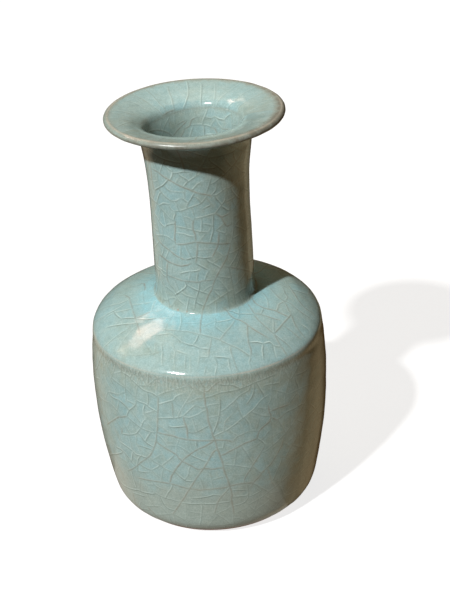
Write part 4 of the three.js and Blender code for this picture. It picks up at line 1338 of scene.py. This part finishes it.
glaze = glaze_material("celadon_crackle")
glaze_plain = glaze_material("celadon_inside", False)
clay = clay_material("stoneware", (0.40, 0.33, 0.26), (0.30, 0.24, 0.185), (0.46, 0.40, 0.33))
slip = clay_material("luting_slip", (0.45, 0.38, 0.31), (0.36, 0.30, 0.24), (0.50, 0.44, 0.37))
foot_clay = clay_material("foot_clay", (0.46, 0.220, 0.100), (0.34, 0.160, 0.075), (0.50, 0.28, 0.14))

# ---------------------------------------------------------------- pieces
made = []


def finish_piece(o, mat, slot, *nodes):
    o.data.materials.clear()
    o.data.materials.append(mat)
    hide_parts(*nodes)
    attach(o, "root")
    made.append(o)


finish_piece(glaze_piece("glaze_mouth", S0, B_NECK), glaze, "celadon_glaze", "glaze_outside", "glaze_inside")
finish_piece(glaze_piece("glaze_neck", B_NECK, B_SHOULDER), glaze, "celadon_glaze", "glaze_outside")
finish_piece(glaze_piece("glaze_shoulder", B_SHOULDER, B_BODY), glaze, "celadon_glaze", "glaze_outside")
finish_piece(glaze_piece("glaze_body", B_BODY, S_END), glaze, "celadon_glaze", "glaze_outside")


def shell_outline(path, thick):
    """Closed outline of a lining: the seen face along path, then back 'thick' mm into the clay's side."""
    p = resample(spline(path, 12), 2.0)
    t = np.gradient(p, axis=0)
    t /= np.hypot(t[:, 0], t[:, 1])[:, None]
    q = p + thick * np.stack([t[:, 1], -t[:, 0]], -1)
    q[:, 0] = np.maximum(q[:, 0], 0.0)
    return [(float(a), float(b)) for a, b in q] + [(max(0.0, float(a)), float(b)) for a, b in p[::-1]]


bore = lathe("glaze_bore", shell_outline([(21.35, 120.6), (21.25, 128.0), (21.0, 150.0), (20.9, 168.0), (20.9, 184.4)], 0.4), 128, 0.03, 3)
finish_piece(bore, glaze_plain, "celadon_glaze", "glaze_inside")
belly = lathe("glaze_belly", shell_outline([(0.0, 9.0), (20.0, 9.3), (43.0, 10.3), (50.0, 14.6), (53.6, 23.0), (56.6, 39.0), (58.4, 62.0),
                                            (58.7, 80.0), (56.8, 97.5), (55.4, 103.0), (51.0, 108.6), (43.0, 112.3), (30.0, 115.7),
                                            (23.6, 117.7), (21.5, 120.7)], 0.4), 128, 0.05, 4)
finish_piece(belly, glaze_plain, "celadon_glaze", "glaze_inside")
under = lathe("glaze_under", [(0, 3.2), (20, 3.24), (38.6, 3.3), (39.9, 3.45), (40.4, 3.75), (40.3, 4.0), (0, 4.02)], 128, 0.05, 5)
finish_piece(under, glaze_plain, "celadon_glaze", "glaze_underside")
ring = lathe("foot_ring_worn", [(41.75, 0.1), (42.1, 0.0), (47.3, 0.0), (48.0, 0.13), (48.9, 0.72), (49.7, 1.45), (50.2, 2.2), (50.1, 2.8),
                                (49.6, 3.35), (41.0, 3.35), (40.95, 2.0), (41.15, 0.75), (41.4, 0.3)], 192, 0.06, 6)
finish_piece(ring, foot_clay, "foot_clay", "foot_ring")

for name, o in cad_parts.items():
    if name in ("glaze_outside", "glaze_inside", "glaze_underside", "foot_ring"):
        continue
    o.data.materials.clear()
    o.data.materials.append(slip if name.startswith("seam_") else clay)

# ---------------------------------------------------------------- floor and light
fm, fnt, fb = tree("floor")
fpos = node(fnt, "ShaderNodeTexCoord").outputs["Object"]
fnt.links.new(mix(fnt, span(fnt, noise(fnt, fpos, 40.0), 0.3, 0.7), (0.240, 0.240, 0.238), (0.260, 0.260, 0.258)), fb.inputs["Base Color"])
fb.inputs["Roughness"].default_value = 0.9
fb.inputs["Emission Color"].default_value = (1.0, 1.0, 1.0, 1.0)
fb.inputs["Emission Strength"].default_value = 0.80
fme = bpy.data.meshes.new("floor")
fme.from_pydata([(-4, -3, 0), (4, -3, 0), (4, 6, 0), (-4, 6, 0)], [], [(0, 1, 2, 3)])
fme.materials.append(fm)
floor = link("floor", fme)
floor.visible_diffuse = False
floor.visible_glossy = False
floor.visible_shadow = False

world = bpy.data.worlds.new("studio")
world.use_nodes = True
world.node_tree.nodes["Background"].inputs[0].default_value = (1.0, 0.50, 0.17, 1.0)
world.node_tree.nodes["Background"].inputs[1].default_value = 0.062
bpy.context.scene.world = world


def aim(o, at):
    o.rotation_euler = (Vector(at) - o.location).to_track_quat("-Z", "Y").to_euler()


def lamp(name, kind, where, energy, colour, **sets):
    d = bpy.data.lights.new(name, kind)
    d.energy = energy
    d.color = colour
    for key, v in sets.items():
        setattr(d, key, v)
    o = bpy.data.objects.new(name, d)
    o.location = where
    bpy.context.scene.collection.objects.link(o)
    aim(o, (0, 0, 0.11))
    return o


def towards(az, el, dist):
    a, e = math.radians(az), math.radians(el)
    return (dist * math.cos(e) * math.cos(a), dist * math.cos(e) * math.sin(a), 0.11 + dist * math.sin(e))


lamp("key", "SUN", towards(-127.0, 43.7, 2.0), 4.28, (1.0, 1.0, 1.0), angle=math.radians(2.5))


def strip(name, one, two, wide, watts, colour):
    """A bar of light between two directions, seen in the gloss only."""
    one, two = Vector(towards(*one, 1.2)), Vector(towards(*two, 1.2))
    o = lamp(name, "AREA", (one + two) / 2, watts, colour, shape="RECTANGLE", size=(two - one).length, size_y=wide)
    zax = (o.location - Vector((0, 0, 0.11))).normalized()
    xax = (two - one).normalized()
    yax = zax.cross(xax).normalized()
    o.rotation_euler = Matrix((xax, yax, xax.cross(yax))).transposed().to_euler()
    o.visible_diffuse = False


strip("strip_a", (103, 38.0), (112, 46.0), 0.07, 0.16, (1.0, 0.72, 0.52))
strip("strip_b", (114, 48.3), (137, 52.5), 0.10, 1.00, (1.0, 0.70, 0.60))
strip("strip_c", (136, 52.0), (162, 45.5), 0.13, 1.05, (1.0, 0.70, 0.60))
strip("strip_d", (161, 42.0), (168, 31.0), 0.08, 0.36, (1.0, 0.72, 0.50))


def soft(name, az, el, size, glow, colour, dist=1.0):
    """A round patch of light that fades to its rim; glow is the brightness of its middle."""
    a = 1.12 * math.atan(0.5 * size / dist)
    watts = glow * math.pi * math.pi * 0.25 * size * size * (math.tan(a) - a) / math.tan(a)
    return lamp(name, "AREA", towards(az, el, dist), watts, colour, shape="DISK", size=size, spread=2 * a)


lamp("sky", "AREA", towards(100, 72, 1.2), 2.4, (1.0, 0.87, 0.64), shape="DISK", size=0.9)
lamp("rear", "AREA", towards(90, -12, 1.3), 5.0, (1.0, 0.98, 0.94), shape="DISK", size=0.4).visible_glossy = False
soft("wall", 78, 50, 1.0, 0.9, (1.0, 0.82, 0.55), 1.2).visible_diffuse = False
lamp("back", "AREA", towards(90, 34, 1.2), 0.36, (1.0, 1.0, 0.9), shape="DISK", size=0.75)
lamp("left", "AREA", towards(176, 28, 1.3), 0.85, (0.96, 1.0, 1.0), shape="DISK", size=0.5).visible_glossy = False
for k, (az, el, size, glow) in enumerate(((-14, -38, 0.7, 0.50), (14, -36, 0.7, 0.60), (40, -32, 0.66, 0.52), (30, -56, 0.64, 0.45), (56, -44, 0.4, 0.20))):
    soft("table_%d" % k, az, el, size, glow, (1.0, 0.80, 0.48))
soft("table_5", 136, -30, 0.90, 0.52, (1.0, 0.80, 0.54))
for k, (x, y, size, watts, colour) in enumerate(((0.235, 0.300, 0.24, 0.027, (1.0, 1.0, 0.72)), (-0.300, 0.230, 0.26, 0.036, (1.0, 0.84, 0.60)))):
    patch = lamp("patch_%d" % k, "AREA", (x, y, -0.004), watts, colour, shape="DISK", size=size)
    patch.rotation_euler = (math.pi, 0.0, 0.0)
    patch.visible_diffuse = False
bounce = lamp("bounce", "AREA", (-0.06, -0.12, -0.004), 0.046, (1.0, 0.97, 0.90), shape="DISK", size=0.27)
bounce.rotation_euler = (math.pi, 0.0, 0.0)

scene = bpy.context.scene
scene.view_settings.view_transform = "Standard"
scene.view_settings.look = "None"
